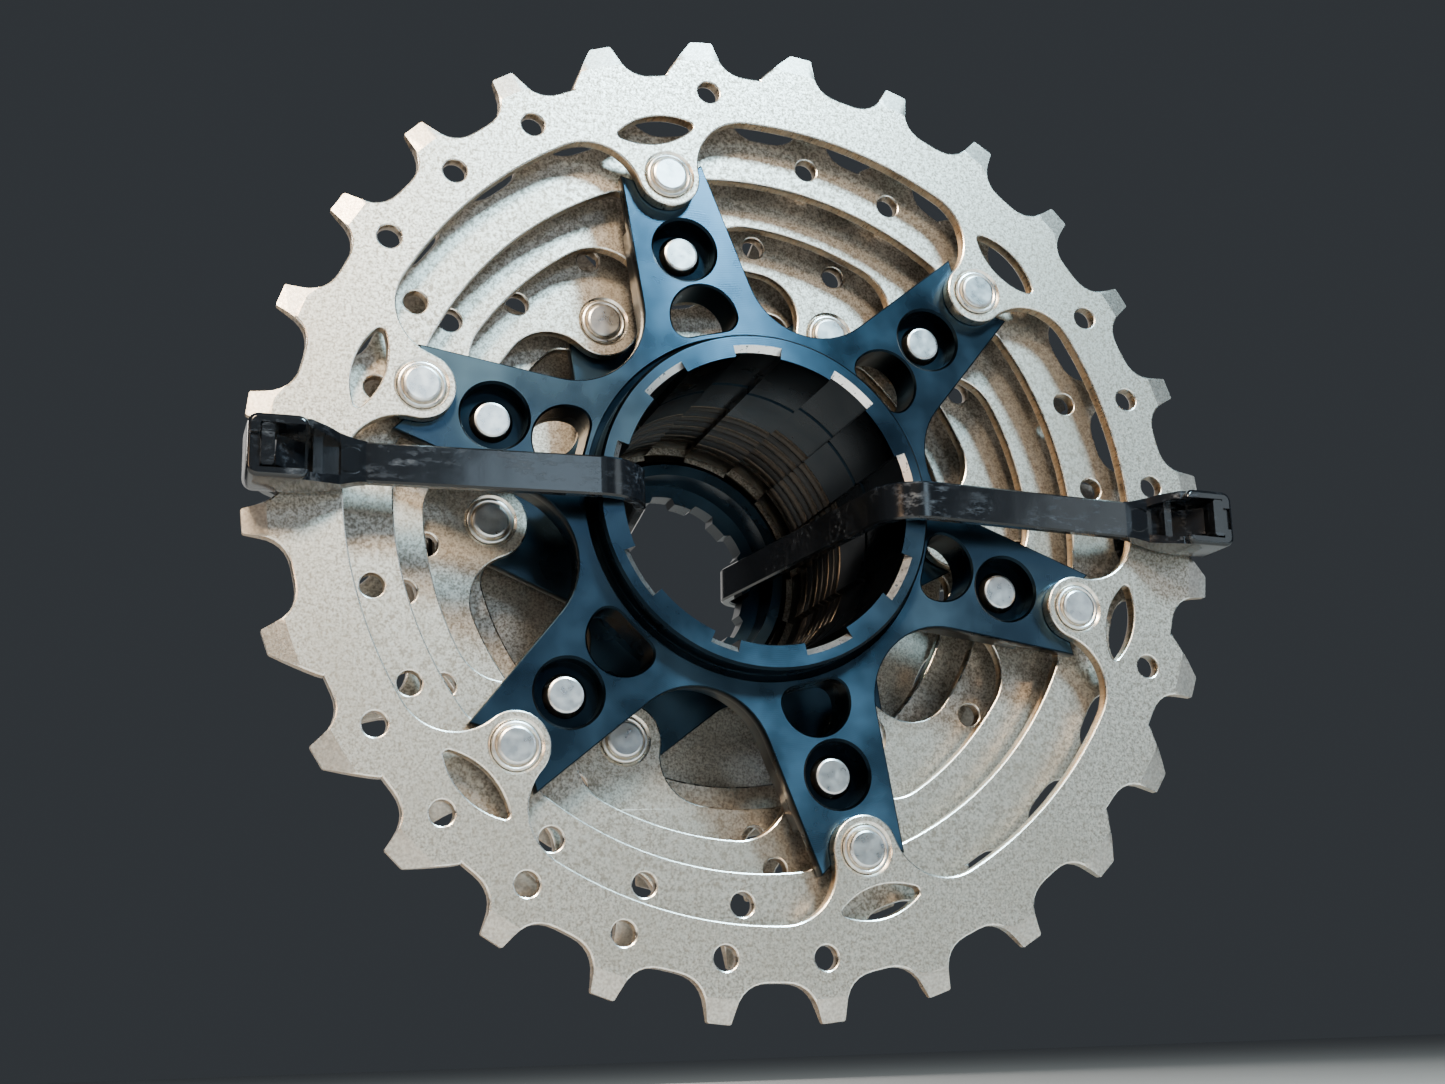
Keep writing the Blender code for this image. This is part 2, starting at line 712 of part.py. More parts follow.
def cable_tie(side, axle):
    """One moulding: the head, the neck, and the strap whose tail comes back through the head."""
    name = f"cable_tie_{side}"
    mesh = extruded([band(strap_path(), STRAP_THICK)], STRAP_WIDTH)
    mesh.transform(Matrix.Rotation(pi / 2, 4, "X"))
    strap = add(name, mesh, axle, "tie")
    head = block(f"head_{side}", HEAD_U, HEAD_Z, HEAD_WIDTH, axle)
    bevel = head.modifiers.new("round", "BEVEL")
    bevel.width = 0.7 * MM
    bevel.segments = 2
    neck_low = 1.1 * MM
    neck = block(
        f"neck_{side}",
        (NECK_END, HEAD_U[0] + 1 * MM),
        (neck_low, 5.2 * MM),
        HEAD_WIDTH - 0.6 * MM,
        axle,
        narrow_z=(neck_low, 2.45 * MM),
        narrow_width=STRAP_WIDTH + 0.1 * MM,
    )
    slot_z = (HEAD_Z[0] - 1 * MM, HEAD_Z[1] + 1 * MM)
    slot = block(f"slot_{side}", SLOT_U, slot_z, SLOT_WIDTH, axle)
    combine(head, neck, "UNION")
    combine(head, slot)
    combine(strap, head, "UNION")
    for piece in (strap, head, neck, slot):
        place_tie(piece, side)
    return strap


def main():
    clear_scene()
    axle = make_axle()
    large_spider(axle)
    for teeth in (28, 25, 23):
        riveted_sprocket(teeth, LARGE_PHASE, axle)
    small_spider(axle)
    for teeth in (21, 19):
        riveted_sprocket(teeth, SMALL_PHASE, axle)
    rivets("outer", OUTER_RIVETS, LARGE_PHASE, 0, depth_of(25) + PLATE, axle, flared=True)
    head_depth = COUNTERBORE_FLOOR - 0.3 * MM
    rivets("inner", INNER_RIVETS, LARGE_PHASE, head_depth, depth_of(23) + PLATE, axle)
    rivets("small", SMALL_RIVETS, SMALL_PHASE, depth_of(21), depth_of(19) + PLATE, axle)
    for teeth in (17, 15, 14, 13):
        loose_sprocket(teeth, axle)
    bossed_sprocket(12, TWELVE_BOSS, spline_outline(), axle)
    bossed_sprocket(11, ELEVEN_BOSS, spline_outline(SMALLEST_MAJOR, SMALLEST_MINOR), axle)
    for before, after in ((17, 15), (15, 14), (14, 13)):
        spacer(before, after, axle)
    lockring(axle)
    for side in ("left", "right"):
        cable_tie(side, axle)


main()
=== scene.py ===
import json
from math import acos, atan2, cos, hypot, pi, radians, sin, sqrt, tan

import bmesh
import bpy
from mathutils import Matrix, Vector

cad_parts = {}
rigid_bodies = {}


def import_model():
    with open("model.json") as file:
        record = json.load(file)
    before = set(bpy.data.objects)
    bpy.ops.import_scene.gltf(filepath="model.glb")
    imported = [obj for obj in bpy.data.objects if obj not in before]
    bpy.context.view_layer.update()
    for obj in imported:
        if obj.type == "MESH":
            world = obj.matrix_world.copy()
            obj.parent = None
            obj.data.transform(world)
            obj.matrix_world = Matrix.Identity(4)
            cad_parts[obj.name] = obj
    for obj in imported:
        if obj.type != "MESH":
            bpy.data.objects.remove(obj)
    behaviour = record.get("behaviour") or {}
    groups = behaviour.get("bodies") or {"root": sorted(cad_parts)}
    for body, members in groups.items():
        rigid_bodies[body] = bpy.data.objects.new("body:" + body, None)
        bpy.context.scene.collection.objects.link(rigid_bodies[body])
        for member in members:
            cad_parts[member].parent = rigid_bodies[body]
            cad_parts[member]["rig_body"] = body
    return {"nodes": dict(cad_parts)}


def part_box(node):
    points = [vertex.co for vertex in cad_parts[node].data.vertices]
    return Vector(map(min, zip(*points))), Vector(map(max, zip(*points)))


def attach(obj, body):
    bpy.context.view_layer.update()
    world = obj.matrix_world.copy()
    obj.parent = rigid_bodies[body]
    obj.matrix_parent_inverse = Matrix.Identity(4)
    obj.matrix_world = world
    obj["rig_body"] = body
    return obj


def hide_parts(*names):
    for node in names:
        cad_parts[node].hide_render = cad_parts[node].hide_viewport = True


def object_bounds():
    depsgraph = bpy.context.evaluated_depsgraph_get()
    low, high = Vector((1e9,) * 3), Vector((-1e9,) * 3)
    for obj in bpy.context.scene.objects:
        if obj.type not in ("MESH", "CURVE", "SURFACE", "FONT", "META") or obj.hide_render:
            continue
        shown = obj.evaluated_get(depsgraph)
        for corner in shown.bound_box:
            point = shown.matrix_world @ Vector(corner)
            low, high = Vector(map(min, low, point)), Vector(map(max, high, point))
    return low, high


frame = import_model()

# Meshes are made in millimetres on the axle. There z points out of the large end, and a depth is
# measured the other way, from the 28-tooth sprocket's outer face into the stack.
MM = 0.001
TO_ROW = Matrix.Rotation(pi / 2, 4, "X") @ Matrix.Scale(MM, 4)
CAD_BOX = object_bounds()

# Teeth
CHAIN_PITCH = 12.7
SEAT_BOTTOM = 4.05  # below the pitch circle
SEAT_HALF_FLAT = 0.9
TIP_HALF_WIDTH = 1.3
TIP_CORNER = 0.12
FLANK = (1.62, 1.5)  # a tooth's half-width where its flank starts to curve, and how far down
RAMPED_FLANK = (2.7, 1.55)
RAMPED = {28: (6, 7, 8, 15, 16, 17, 24, 25, 26, 27), 25: (3, 4, 11, 12, 20), 21: (2, 9, 16)}
SWEPT = {28: (3, 4, 12, 13, 22, 23), 25: (7, 16, 24)}
TOOTH_CHAMFER = 2.55  # the depth of the teeth's chamfers below their tips
TOOTH_CHAMFER_SLOPE = tan(radians(10))
ORDER = (28, 25, 23, 21, 19, 17, 15, 14, 13, 12, 11)
FIRST_TOOTH = dict(zip(ORDER, (5.7, 7.0, 7.3, 15.1, 4.0, 2.0, 9.0, 5.0, 12.0, 3.0, 8.0)))  # degrees
PLATE = 1.6

# Oblique cuts across the swept teeth, as places beside the tooth and below its tip
SWEPT_EDGE = [(-3.2, 2.3), (-1.0, 2.25), (0.9, 2.6), (2.2, 3.3), (3.6, 4.5)]
SWEPT_FAR = [(5.2, 4.2), (3.0, -0.8), (-3.2, -0.8)]
SWEPT_STEP = 0.1
SWEPT_SLOPE = 0.13
SWEPT_FAR_RUNS = (2.4, 4.2, 3.2)  # how far the slope has run at each far corner

# Shift ramps: hollows whose floor slopes across the teeth
RAMP_DEPTHS = (0.05, -0.12, -0.62, -0.43)
RAMP_BELOW_ROOT = 2.6
RAMP_LEFT = 5.2
RAMP_RIGHT = 4.4
FEW_RAMPS_BELOW = 17  # sprockets with fewer teeth than this have two ramps, and the others four

# Splined bore
SPLINES = 9
SPLINE_MAJOR = 17.45
SPLINE_MINOR = 16.6
SPLINE_HALF = radians(9.3)
SPLINE_NARROW_HALF = radians(5.2)
SPLINE_NARROW_INDEX = 4
SPLINE_FIRST = radians(91.7)
SMALLEST_MAJOR = 16.5
SMALLEST_MINOR = 15.8
BORE_EDGE = 17.75  # nothing but the bore's wall lies inside this radius
BOSS_RADIUS = {12: 19.6, 11: 17.9}
BOSS_SHORT = 0.5  # where the two smallest sprockets' bosses end, inside their plates

# Riveted rings
ARMS = 6
LARGE_PHASE = radians(-15.26)
SMALL_PHASE = radians(1.9)
OUTER_RIVETS = 40.0
INNER_RIVETS = 31.4
SMALL_RIVETS = 28.8
RINGS = {
    28: {"ring": 46.7, "rivets": OUTER_RIVETS, "tab": 3.75, "fillet": 6.2},
    25: {"ring": 40.9, "rivets": OUTER_RIVETS, "tab": 3.75, "fillet": 2.4},
    23: {"ring": 37.0, "rivets": INNER_RIVETS, "tab": 3.75, "fillet": 6.0},
    21: {"ring": 33.0, "rivets": SMALL_RIVETS, "tab": 4.3, "fillet": 5.5},
    19: {"ring": 30.0, "rivets": SMALL_RIVETS, "tab": 4.0, "fillet": 2.6},
}
HOLE_RADIUS = 1.33
HOLE_BELOW_PITCH = 6.35
DRILLED = {
    28: (0, 1, 2, 7, 9, 10, 11, 16, 17, 18, 19, 20, 21, 26),
    25: (0, 1, 4, 5, 10, 11, 13, 14, 16, 17, 18),
    23: (9, 12, 13, 17),
    21: (1, 3, 4, 6, 7, 9, 10, 12, 13, 15, 16, 18, 19),
}
LENS_CIRCLE = 45.8
LENS_HALF_LENGTH = 4.7
LENS_HALF_WIDTH = 1.72
LENS_END = 0.55

# Carriers
LARGE_ARMS = {"horn": (41.5, 5.1), "boss": (OUTER_RIVETS, 3.6), "root": 22.1, "fillet": 8.6}
LARGE_ARM_BACKS = {"horn": (36.0, 4.9), "boss": None, "root": 21.5, "fillet": 9.2}
SMALL_ARMS = {"horn": (29.2, 4.2), "boss": (SMALL_RIVETS, 3.4), "root": 20.8, "fillet": 4.8}
ARM_FACE = 1.75
FRONT_PLATE_END = 3.44
COLLAR_RADIUS = 19.5
GROOVE = (19.5, 20.25)
GROOVE_DEPTH = 0.5
COUNTERBORE_RADIUS = 3.75
COUNTERBORE_FLOOR = 3.9
D_HOLE_RADIUS = 4.0
D_HOLE_CENTRE = 22.9
D_HOLE_FLAT = 20.95
D_HOLE_CORNER = 1.8
NOTCH_CHAMFER = 0.7
ARM_RIM = 0.16
HUB_CHAMFER = 0.3
PLATE_GAP = 0.3  # between a carrier's arm and the plate riveted to it

# Rivets
SHANK_RADIUS = 2.06
SHANK_HOLE = 2.36
DISH_RADIUS = 2.9
DISH_DEPTH = 0.4
FOOT_RADIUS = 3.0
FOOT_HEIGHT = 0.6

# Spacers
POCKET_RADIUS = 0.75
POCKET_CIRCLE = 18.3
POCKET_DEPTH = 0.3

# Lockring
TOOL_SPLINES = 12
TOOL_MAJOR = 11.7
TOOL_MINOR = 10.95
TOOL_NOTCH = 0.22  # half a notch's share of the pitch
TOOL_LAND = (0.3, 0.7)
SLEEVE_RADIUS = 15.2
SLEEVE_BORE = 13.3
SLEEVE_WEB = 3.3  # the flange's thickness inside the sleeve
THREAD_PITCH = 1.0
THREAD_DEPTH = 0.4
SERRATIONS = 60
SERRATION_LENGTH = 2.2
SERRATION = [(-0.28, 0.25), (0.0, -0.14), (0.28, 0.25)]

# Cable ties
STRAP_WIDTH = 4.4
STRAP_THICK = 1.3
TIE_YAW = {"left": radians(180), "right": radians(-1.2)}
TIE_OFFSET = {"left": 0.65, "right": 0.83}
STRAP_STEP = 0.3
STRAP_TOOTH_PITCH = 1.2
STRAP_TOOTH_DEPTH = 0.45
STRAP_TEETH = (62, 1.5)  # where the teeth start and stop, measured back from the strap's tail
HEAD_INWARD = 4.15  # from the tail to the head's inner end
HEAD_OUTWARD = 2.05
HEAD_HALF = 3.35
HEAD_HEIGHT = 5.7
MARK_U = 8.75  # from the tail to the round mark left by the mould
TIE_CREASE = 32

RIM = 0.18
ROUND_STEP = radians(7)
CLEAR = 0.1  # how far a cutter stands past the face that it cuts
MERGE = 1e-4
CREASE = 24  # degrees

# A face's look along the axle, from 1 for square to it down to 0 for edge on
FLAT = 0.9975
CHAMFERED = 0.95
ROUNDED = 0.3

# Surroundings, in metres
FLOOR_SIZE = 3.0
FLOOR_DROP = 0.021
WORLD_COLOUR = (0.60, 0.68, 0.78, 1)
WORLD_STRENGTH = 0.06
LAMPS = (  # name, place, size, power, colour
    ("key_cool", (0.18, -0.48, 0.46), 0.12, 7.6, (0.56, 0.86, 1.0)),
    ("key_warm", (-0.14, -0.45, 0.33), 0.12, 4.6, (1.0, 0.78, 0.54)),
    ("warm_left", (-0.29, -0.24, 0.06), 0.10, 0.3, (1.0, 0.66, 0.40)),
    ("front", (0.06, -0.50, 0.15), 0.08, 0.10, (0.62, 0.82, 1.0)),
    ("right", (0.42, -0.42, 0.12), 0.20, 0.25, (0.80, 0.92, 1.0)),
    ("behind", (0.05, 0.80, 0.25), 0.80, 1.3, (1.0, 0.97, 0.93)),
    ("behind_left", (-0.56, 0.26, 0.24), 0.16, 3.4, (1.0, 0.93, 0.84)),
)
CAMERA_LENS = 46.37
CAMERA_PLACE = (-0.0704, -0.1874, -0.0590)
CAMERA_AHEAD = (0.3173, 0.9113, 0.2623)
CAMERA_UP = (-0.0548, -0.2585, 0.9644)


# Outlines


def polar(radius, angle):
    return radius * cos(angle), radius * sin(angle)


def arc(centre, radius, start, end, steps=None):
    """Points from start to end on a circle, both ends included."""
    steps = steps or max(2, int(abs(end - start) / ROUND_STEP + 1))
    angles = [start + (end - start) * i / steps for i in range(steps + 1)]
    return [(centre[0] + radius * cos(a), centre[1] + radius * sin(a)) for a in angles]


def circle(centre, radius, sides=32):
    return arc(centre, radius, 0, 2 * pi * (1 - 1 / sides), sides - 1)


def turned_by(points, angle):
    c, s = cos(angle), sin(angle)
    return [(x * c - y * s, x * s + y * c) for x, y in points]


def bent(start, control, end, steps=5):
    """Points along a quadratic curve, without its ends."""
    points = []
    for i in range(1, steps):
        t = i / steps
        a, b, c = (1 - t) ** 2, 2 * t * (1 - t), t * t
        points.append(tuple(a * start[k] + b * control[k] + c * end[k] for k in (0, 1)))
    return points


def grown(outline, by):
    """The outline moved outward by a small distance."""
    count = len(outline)
    area = sum(x0 * y1 - x1 * y0 for (x0, y0), (x1, y1) in zip(outline, outline[1:] + outline[:1]))
    side = 1 if area > 0 else -1
    moved = []
    for i, (x, y) in enumerate(outline):
        before, after = outline[i - 1], outline[(i + 1) % count]
        into, out = Vector((x - before[0], y - before[1])), Vector((after[0] - x, after[1] - y))
        into.normalize()
        out.normalize()
        along = (into + out).normalized()
        stretch = by * side / max(0.5, along.dot(out))
        moved.append((x + along.y * stretch, y - along.x * stretch))
    return moved


def pitch_radius(teeth):
    return CHAIN_PITCH / 2 / sin(pi / teeth)


def flank(teeth, tip, tooth, side, shape, steps=6):
    """A tooth's side, from the corner of its tip to the flat bottom of the seat beside it."""
    width, drop = shape
    corner = Vector(polar(tip, tooth + side * TIP_HALF_WIDTH / tip))
    start = Vector(polar(tip - drop, tooth + side * width / (tip - drop)))
    middle = tooth + side * pi / teeth
    bottom_radius = pitch_radius(teeth) - SEAT_BOTTOM
    bottom = Vector(polar(bottom_radius, middle - side * SEAT_HALF_FLAT / bottom_radius))
    outward = Vector(polar(1, middle))
    reach = (bottom - corner).dot(outward) / (start - corner).dot(outward)
    bend = corner + (start - corner) * reach
    points = [polar(tip, tooth + side * (TIP_HALF_WIDTH - TIP_CORNER) / tip)]
    points.append(tuple(corner + (start - corner).normalized() * TIP_CORNER))
    points.append(tuple(start))
    points += bent(start, bend, bottom, steps)
    points.append(tuple(bottom))
    return points


def tooth_outline(teeth, tip):
    """Flat-tipped teeth with a roller seat between each two. Some have one sloping flank."""
    points = []
    for i in range(teeth):
        tooth = radians(FIRST_TOOTH[teeth]) + 2 * pi * i / teeth
        later = RAMPED_FLANK if i in RAMPED.get(teeth, ()) else FLANK
        points += reversed(flank(teeth, tip, tooth, -1, FLANK))
        points += flank(teeth, tip, tooth, 1, later)
    return points


def spline_outline(major=SPLINE_MAJOR, minor=SPLINE_MINOR):
    """The bore: nine notches for the freehub's splines, one of them narrower."""
    points = []
    for i in range(SPLINES):
        middle = SPLINE_FIRST + 2 * pi * i / SPLINES
        half = SPLINE_NARROW_HALF if i == SPLINE_NARROW_INDEX else SPLINE_HALF
        following = SPLINE_FIRST + 2 * pi * (i + 1) / SPLINES
        next_half = SPLINE_NARROW_HALF if i + 1 == SPLINE_NARROW_INDEX else SPLINE_HALF
        points += arc((0, 0), major, middle - half, middle + half, 6)
        points += arc((0, 0), minor, middle + half, following - next_half, 8)
    return points


def tool_outline(grow=0.0):
    """The lockring's bore, with the small splines that its tool turns."""
    points = []
    pitch = 2 * pi / TOOL_SPLINES
    for i in range(TOOL_SPLINES):
        notch = pitch * i
        half, (start, end) = pitch * TOOL_NOTCH, TOOL_LAND
        points += arc((0, 0), TOOL_MAJOR + grow, notch - half, notch + half, 4)
        points += arc((0, 0), TOOL_MINOR + grow, notch + pitch * start, notch + pitch * end, 4)
    return points


def tabbed_opening(ring, rivets, tab, fillet, phase):
    """The inside of a riveted ring: a circle with rounded tabs that reach in to the rivets."""
    to_fillet, tab_to_fillet = ring - fillet, tab + fillet
    along = (to_fillet**2 + rivets**2 - tab_to_fillet**2) / 2 / rivets
    across = sqrt(to_fillet**2 - along**2)
    shoulder = atan2(across, along)
    towards_tab = atan2(across, rivets - along)
    points = []
    for i in range(ARMS):
        one = arc((along, -across), fillet, -shoulder, towards_tab)
        one += arc((rivets, 0), tab, towards_tab - pi, -towards_tab - pi)[1:-1]
        one += arc((along, across), fillet, -towards_tab, shoulder)
        one += arc((0, 0), ring, shoulder, 2 * pi / ARMS - shoulder, 20)[1:-1]
        points += turned_by(one, phase + 2 * pi * i / ARMS)
    return points


def arm_outline(horn, boss, root, fillet, phase):
    """Six arms with rounded crotches. Each ends in two horns, with a round boss between them."""
    half = pi / ARMS
    crotch = polar(root + fillet, -half)
    reach = (horn[0] - crotch[0], -horn[1] - crotch[1])
    tangent = atan2(reach[1], reach[0]) + acos(fillet / hypot(*reach))
    points = []
    for i in range(ARMS):
        one = arc(crotch, fillet, pi - half, tangent)
        one.append((horn[0], -horn[1]))
        if boss:
            one += arc((boss[0], 0), boss[1], radians(-80), radians(80))
        one.append(horn)
        one += arc((crotch[0], -crotch[1]), fillet, -tangent, half - pi)[:-1]
        points += turned_by(one, phase + 2 * pi * i / ARMS)
    return points


def lens_outline(angle):
    """A slot with two arcs for sides and small round ends."""
    length, width = LENS_HALF_LENGTH - LENS_END, LENS_HALF_WIDTH - LENS_END
    bulge = (length**2 + width**2) / 2 / width
    reach = acos((bulge - width) / bulge)
    side = arc((LENS_CIRCLE - bulge + width, 0), bulge + LENS_END, -reach, reach, 12)
    half = side + arc((LENS_CIRCLE, length), LENS_END, reach, pi - reach, 6)[1:-1]
    other = [(2 * LENS_CIRCLE - x, -y) for x, y in half]
    return turned_by(half + other, angle)


def d_outline(angle):
    """A round hole with a flat side towards the hub."""
    corner = D_HOLE_RADIUS - D_HOLE_CORNER
    low = D_HOLE_FLAT + D_HOLE_CORNER
    points = arc((D_HOLE_CENTRE, 0), D_HOLE_RADIUS, -pi / 2, pi / 2, 24)
    points += arc((low, corner), D_HOLE_CORNER, pi / 2, pi, 8)
    points += arc((low, -corner), D_HOLE_CORNER, pi, 3 * pi / 2, 8)
    return turned_by(points, angle)


def arm_angles(phase):
    return [phase + 2 * pi * i / ARMS for i in range(ARMS)]


# Meshes


def tidy(mesh):
    """The same mesh without doubled vertices, its faces turned outward."""
    shape = bmesh.new()
    shape.from_mesh(mesh)
    bmesh.ops.remove_doubles(shape, verts=shape.verts, dist=MERGE)
    bmesh.ops.recalc_face_normals(shape, faces=shape.faces)
    shape.to_mesh(mesh)
    shape.free()
    return mesh


def evaluated(thing):
    graph = bpy.context.evaluated_depsgraph_get()
    return bpy.data.meshes.new_from_object(thing.evaluated_get(graph))


def extruded(outlines, top, bottom, rim=RIM, rim_steps=1):
    """Outlines given thickness between two heights, with rounded rims. The first is the outside."""
    curve = bpy.data.curves.new("outline", "CURVE")
    curve.dimensions = "2D"
    curve.fill_mode = "BOTH"
    curve.extrude = (top - bottom) / 2 - rim
    curve.bevel_depth = rim
    curve.bevel_resolution = rim_steps
    curve.offset = -rim
    for outline in outlines:
        spline = curve.splines.new("POLY")
        spline.points.add(len(outline) - 1)
        spline.use_cyclic_u = True
        for point, (x, y) in zip(spline.points, outline):
            point.co = (x, y, 0, 1)
    drawn = bpy.data.objects.new("outline", curve)
    bpy.context.scene.collection.objects.link(drawn)
    mesh = evaluated(drawn)
    bpy.data.objects.remove(drawn)
    mesh.materials.clear()
    mesh.transform(Matrix.Translation((0, 0, (top + bottom) / 2)))
    return tidy(mesh)


def closed_mesh(name, shape):
    """A new mesh of the bmesh, its faces turned outward."""
    bmesh.ops.recalc_face_normals(shape, faces=shape.faces)
    mesh = bpy.data.meshes.new(name)
    shape.to_mesh(mesh)
    shape.free()
    return mesh


def bridged(name, rows):
    """A closed body through rows of places, with as many places in each row."""
    shape = bmesh.new()
    rows = [[shape.verts.new(place) for place in row] for row in rows]
    count = len(rows[0])
    for low, high in zip(rows, rows[1:]):
        for i in range(count):
            j = (i + 1) % count
            shape.faces.new((low[i], low[j], high[j], high[i]))
    shape.faces.new(rows[0])
    shape.faces.new(rows[-1])
    return closed_mesh(name, shape)


def loft(rings, centre=(0, 0)):
    """A closed body through rings of equal counts, each (outline, height)."""
    return bridged("loft", [[(x + centre[0], y + centre[1], z) for x, y in ring] for ring, z in rings])


def spun(profile, steps=96, centre=(0, 0), closed=False):
    """A profile of (radius, height) turned round the axle, or round another axis beside it."""
    shape = bmesh.new()
    points = [shape.verts.new((r, 0, z)) for r, z in profile]
    pairs = list(zip(points, points[1:] + points[:1] if closed else points[1:]))
    edges = [shape.edges.new(pair) for pair in pairs]
    bmesh.ops.spin(shape, geom=points + edges, cent=(0, 0, 0), axis=(0, 0, 1), angle=2 * pi, steps=steps)
    mesh = bpy.data.meshes.new("spun")
    shape.to_mesh(mesh)
    shape.free()
    mesh.transform(Matrix.Translation((*centre, 0)))
    return tidy(mesh)


def joined(meshes):
    shape = bmesh.new()
    for mesh in meshes:
        shape.from_mesh(mesh)
    together = bpy.data.meshes.new("joined")
    shape.to_mesh(together)
    shape.free()
    return together


def combined(mesh, *steps):
    """The mesh after Boolean steps, each (operation, other mesh)."""
    thing = bpy.data.objects.new("body", mesh)
    tools = [bpy.data.objects.new("tool", other) for _, other in steps]
    for each in (thing, *tools):
        bpy.context.scene.collection.objects.link(each)
    for (operation, _), tool in zip(steps, tools):
        modifier = thing.modifiers.new(operation, "BOOLEAN")
        modifier.operation = operation
        modifier.object = tool
    result = evaluated(thing)
    for each in (thing, *tools):
        bpy.data.objects.remove(each)
    result.materials.clear()
    return tidy(result)


def hole(outline, top, bottom, chamfer=0.2, centre=(0, 0), through=True):
    """A cutter for a hole whose mouths are chamfered."""
    flare = grown(outline, chamfer + CLEAR)
    rings = [(flare, top + CLEAR), (outline, top - chamfer)]
    if through:
        rings += [(outline, bottom + chamfer), (flare, bottom - CLEAR)]
    else:
        rings.append((outline, bottom))
    return loft(rings, centre)


def finished(name, mesh, node, surfaces, sort=None, crease=CREASE):
    """The piece that stands for a node, in the row's frame, with its materials and its shading."""
    shape = bmesh.new()
    shape.from_mesh(mesh)
    for edge in shape.edges:
        if len(edge.link_faces) != 2:
            continue
        one, other = edge.link_faces
        flat = max(abs(one.normal.z), abs(other.normal.z)) > FLAT
        edge.smooth = one.normal.angle(other.normal, pi) < radians(1 if flat else crease)
    for face in shape.faces:
        face.smooth = True
        if sort:
            face.material_index = sort(face.calc_center_median(), face.normal)
    shape.to_mesh(mesh)
    shape.free()
    mesh.transform(TO_ROW)
    mesh.name = name
    piece = bpy.data.objects.new(name, mesh)
    bpy.context.scene.collection.objects.link(piece)
    for surface in surfaces:
        mesh.materials.append(surface)
    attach(piece, frame["nodes"][node]["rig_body"])
    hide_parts(node)
    return piece


def spans(node):
    """A node's least and greatest radius, and its first and last depth."""
    points = [v.co / MM for v in frame["nodes"][node].data.vertices]
    radii = [hypot(p.x, p.z) for p in points]
    return min(radii), max(radii), min(p.y for p in points), max(p.y for p in points)


# Surfaces


class Nodes:
    """Short calls for a material's node tree."""

    def __init__(self, name, metallic, roughness, **constants):
        self.material = bpy.data.materials.new(name)
        self.material.use_nodes = True
        self.tree = self.material.node_tree
        self.shader = self.tree.nodes["Principled BSDF"]
        self.shader.inputs["Metallic"].default_value = metallic
        self.shader.inputs["Roughness"].default_value = roughness
        for socket, value in constants.items():
            self.shader.inputs[socket.replace("_", " ")].default_value = value
        self.place = self.add("ShaderNodeTexCoord").outputs["Object"]

    def add(self, kind, **settings):
        node = self.tree.nodes.new(kind)
        for key, value in settings.items():
            setattr(node, key, value)
        return node

    def set(self, socket, value):
        if isinstance(value, bpy.types.NodeSocket):
            self.tree.links.new(value, socket)
        else:
            socket.default_value = value

    def maths(self, operation, a, b=0.0):
        node = self.add("ShaderNodeMath", operation=operation)
        self.set(node.inputs[0], a)
        self.set(node.inputs[1], b)
        return node.outputs[0]

    def stretched(self, scale):
        node = self.add("ShaderNodeMapping")
        self.set(node.inputs["Vector"], self.place)
        node.inputs["Scale"].default_value = scale
        return node.outputs[0]

    def noise(self, size, detail=2.0, rough=0.5, place=None):
        """Noise whose lumps are about this many millimetres across."""
        node = self.add("ShaderNodeTexNoise")
        self.set(node.inputs["Vector"], place or self.place)
        node.inputs["Scale"].default_value = 1 / (size * MM)
        node.inputs["Detail"].default_value = detail
        node.inputs["Roughness"].default_value = rough
        return node.outputs["Fac"]

    def ramp(self, value, low, high, to_low=0.0, to_high=1.0):
        node = self.add("ShaderNodeMapRange")
        self.set(node.inputs["Value"], value)
        limits = {"From Min": low, "From Max": high, "To Min": to_low, "To Max": to_high}
        for socket, number in limits.items():
            node.inputs[socket].default_value = number
        return node.outputs[0]

    def blend(self, factor, a, b):
        node = self.add("ShaderNodeMix", data_type="RGBA")
        self.set(node.inputs["Factor"], factor)
        for socket, colour in ((node.inputs["A"], a), (node.inputs["B"], b)):
            self.set(socket, (*colour, 1) if isinstance(colour, tuple) else colour)
        return node.outputs["Result"]

    def bump(self, height, distance, strength=1.0, under=None):
        node = self.add("ShaderNodeBump")
        node.inputs["Strength"].default_value = strength
        node.inputs["Distance"].default_value = distance * MM
        self.set(node.inputs["Height"], height)
        if under:
            self.set(node.inputs["Normal"], under)
        return node.outputs[0]

    def radius(self):
        """Distance from the axle, in metres."""
        axes = self.add("ShaderNodeSeparateXYZ")
        self.set(axes.inputs[0], self.place)
        squares = [self.maths("MULTIPLY", axes.outputs[k], axes.outputs[k]) for k in ("X", "Z")]
        return self.maths("SQRT", self.maths("ADD", *squares))

    def finish(self, colour=None, roughness=None, normal=None):
        for socket, value in (("Base Color", colour), ("Roughness", roughness), ("Normal", normal)):
            if value is not None:
                self.set(self.shader.inputs[socket], value)
        return self.material


def plated_face():
    """Nickel plate on a blasted sheet: a fine sparkle of grains, with faint stains."""
    n = Nodes("plated_face", 1.0, 0.4)
    grain = n.noise(0.26, 2.0, 0.6)
    speck = n.noise(0.55, 1.0, 0.5)
    stain = n.noise(9.0, 4.0, 0.6)
    level = n.maths("ADD", n.maths("MULTIPLY", grain, 0.65), n.maths("MULTIPLY", speck, 0.35))
    colour = n.blend(n.ramp(level, 0.40, 0.60), (0.24, 0.212, 0.18), (0.69, 0.65, 0.59))
    colour = n.blend(n.ramp(stain, 0.45, 0.75, 0.0, 0.3), colour, (0.38, 0.335, 0.27))
    roughness = n.ramp(level, 0.35, 0.65, 0.50, 0.34)
    return n.finish(colour, roughness, n.bump(level, 0.03, 0.35))


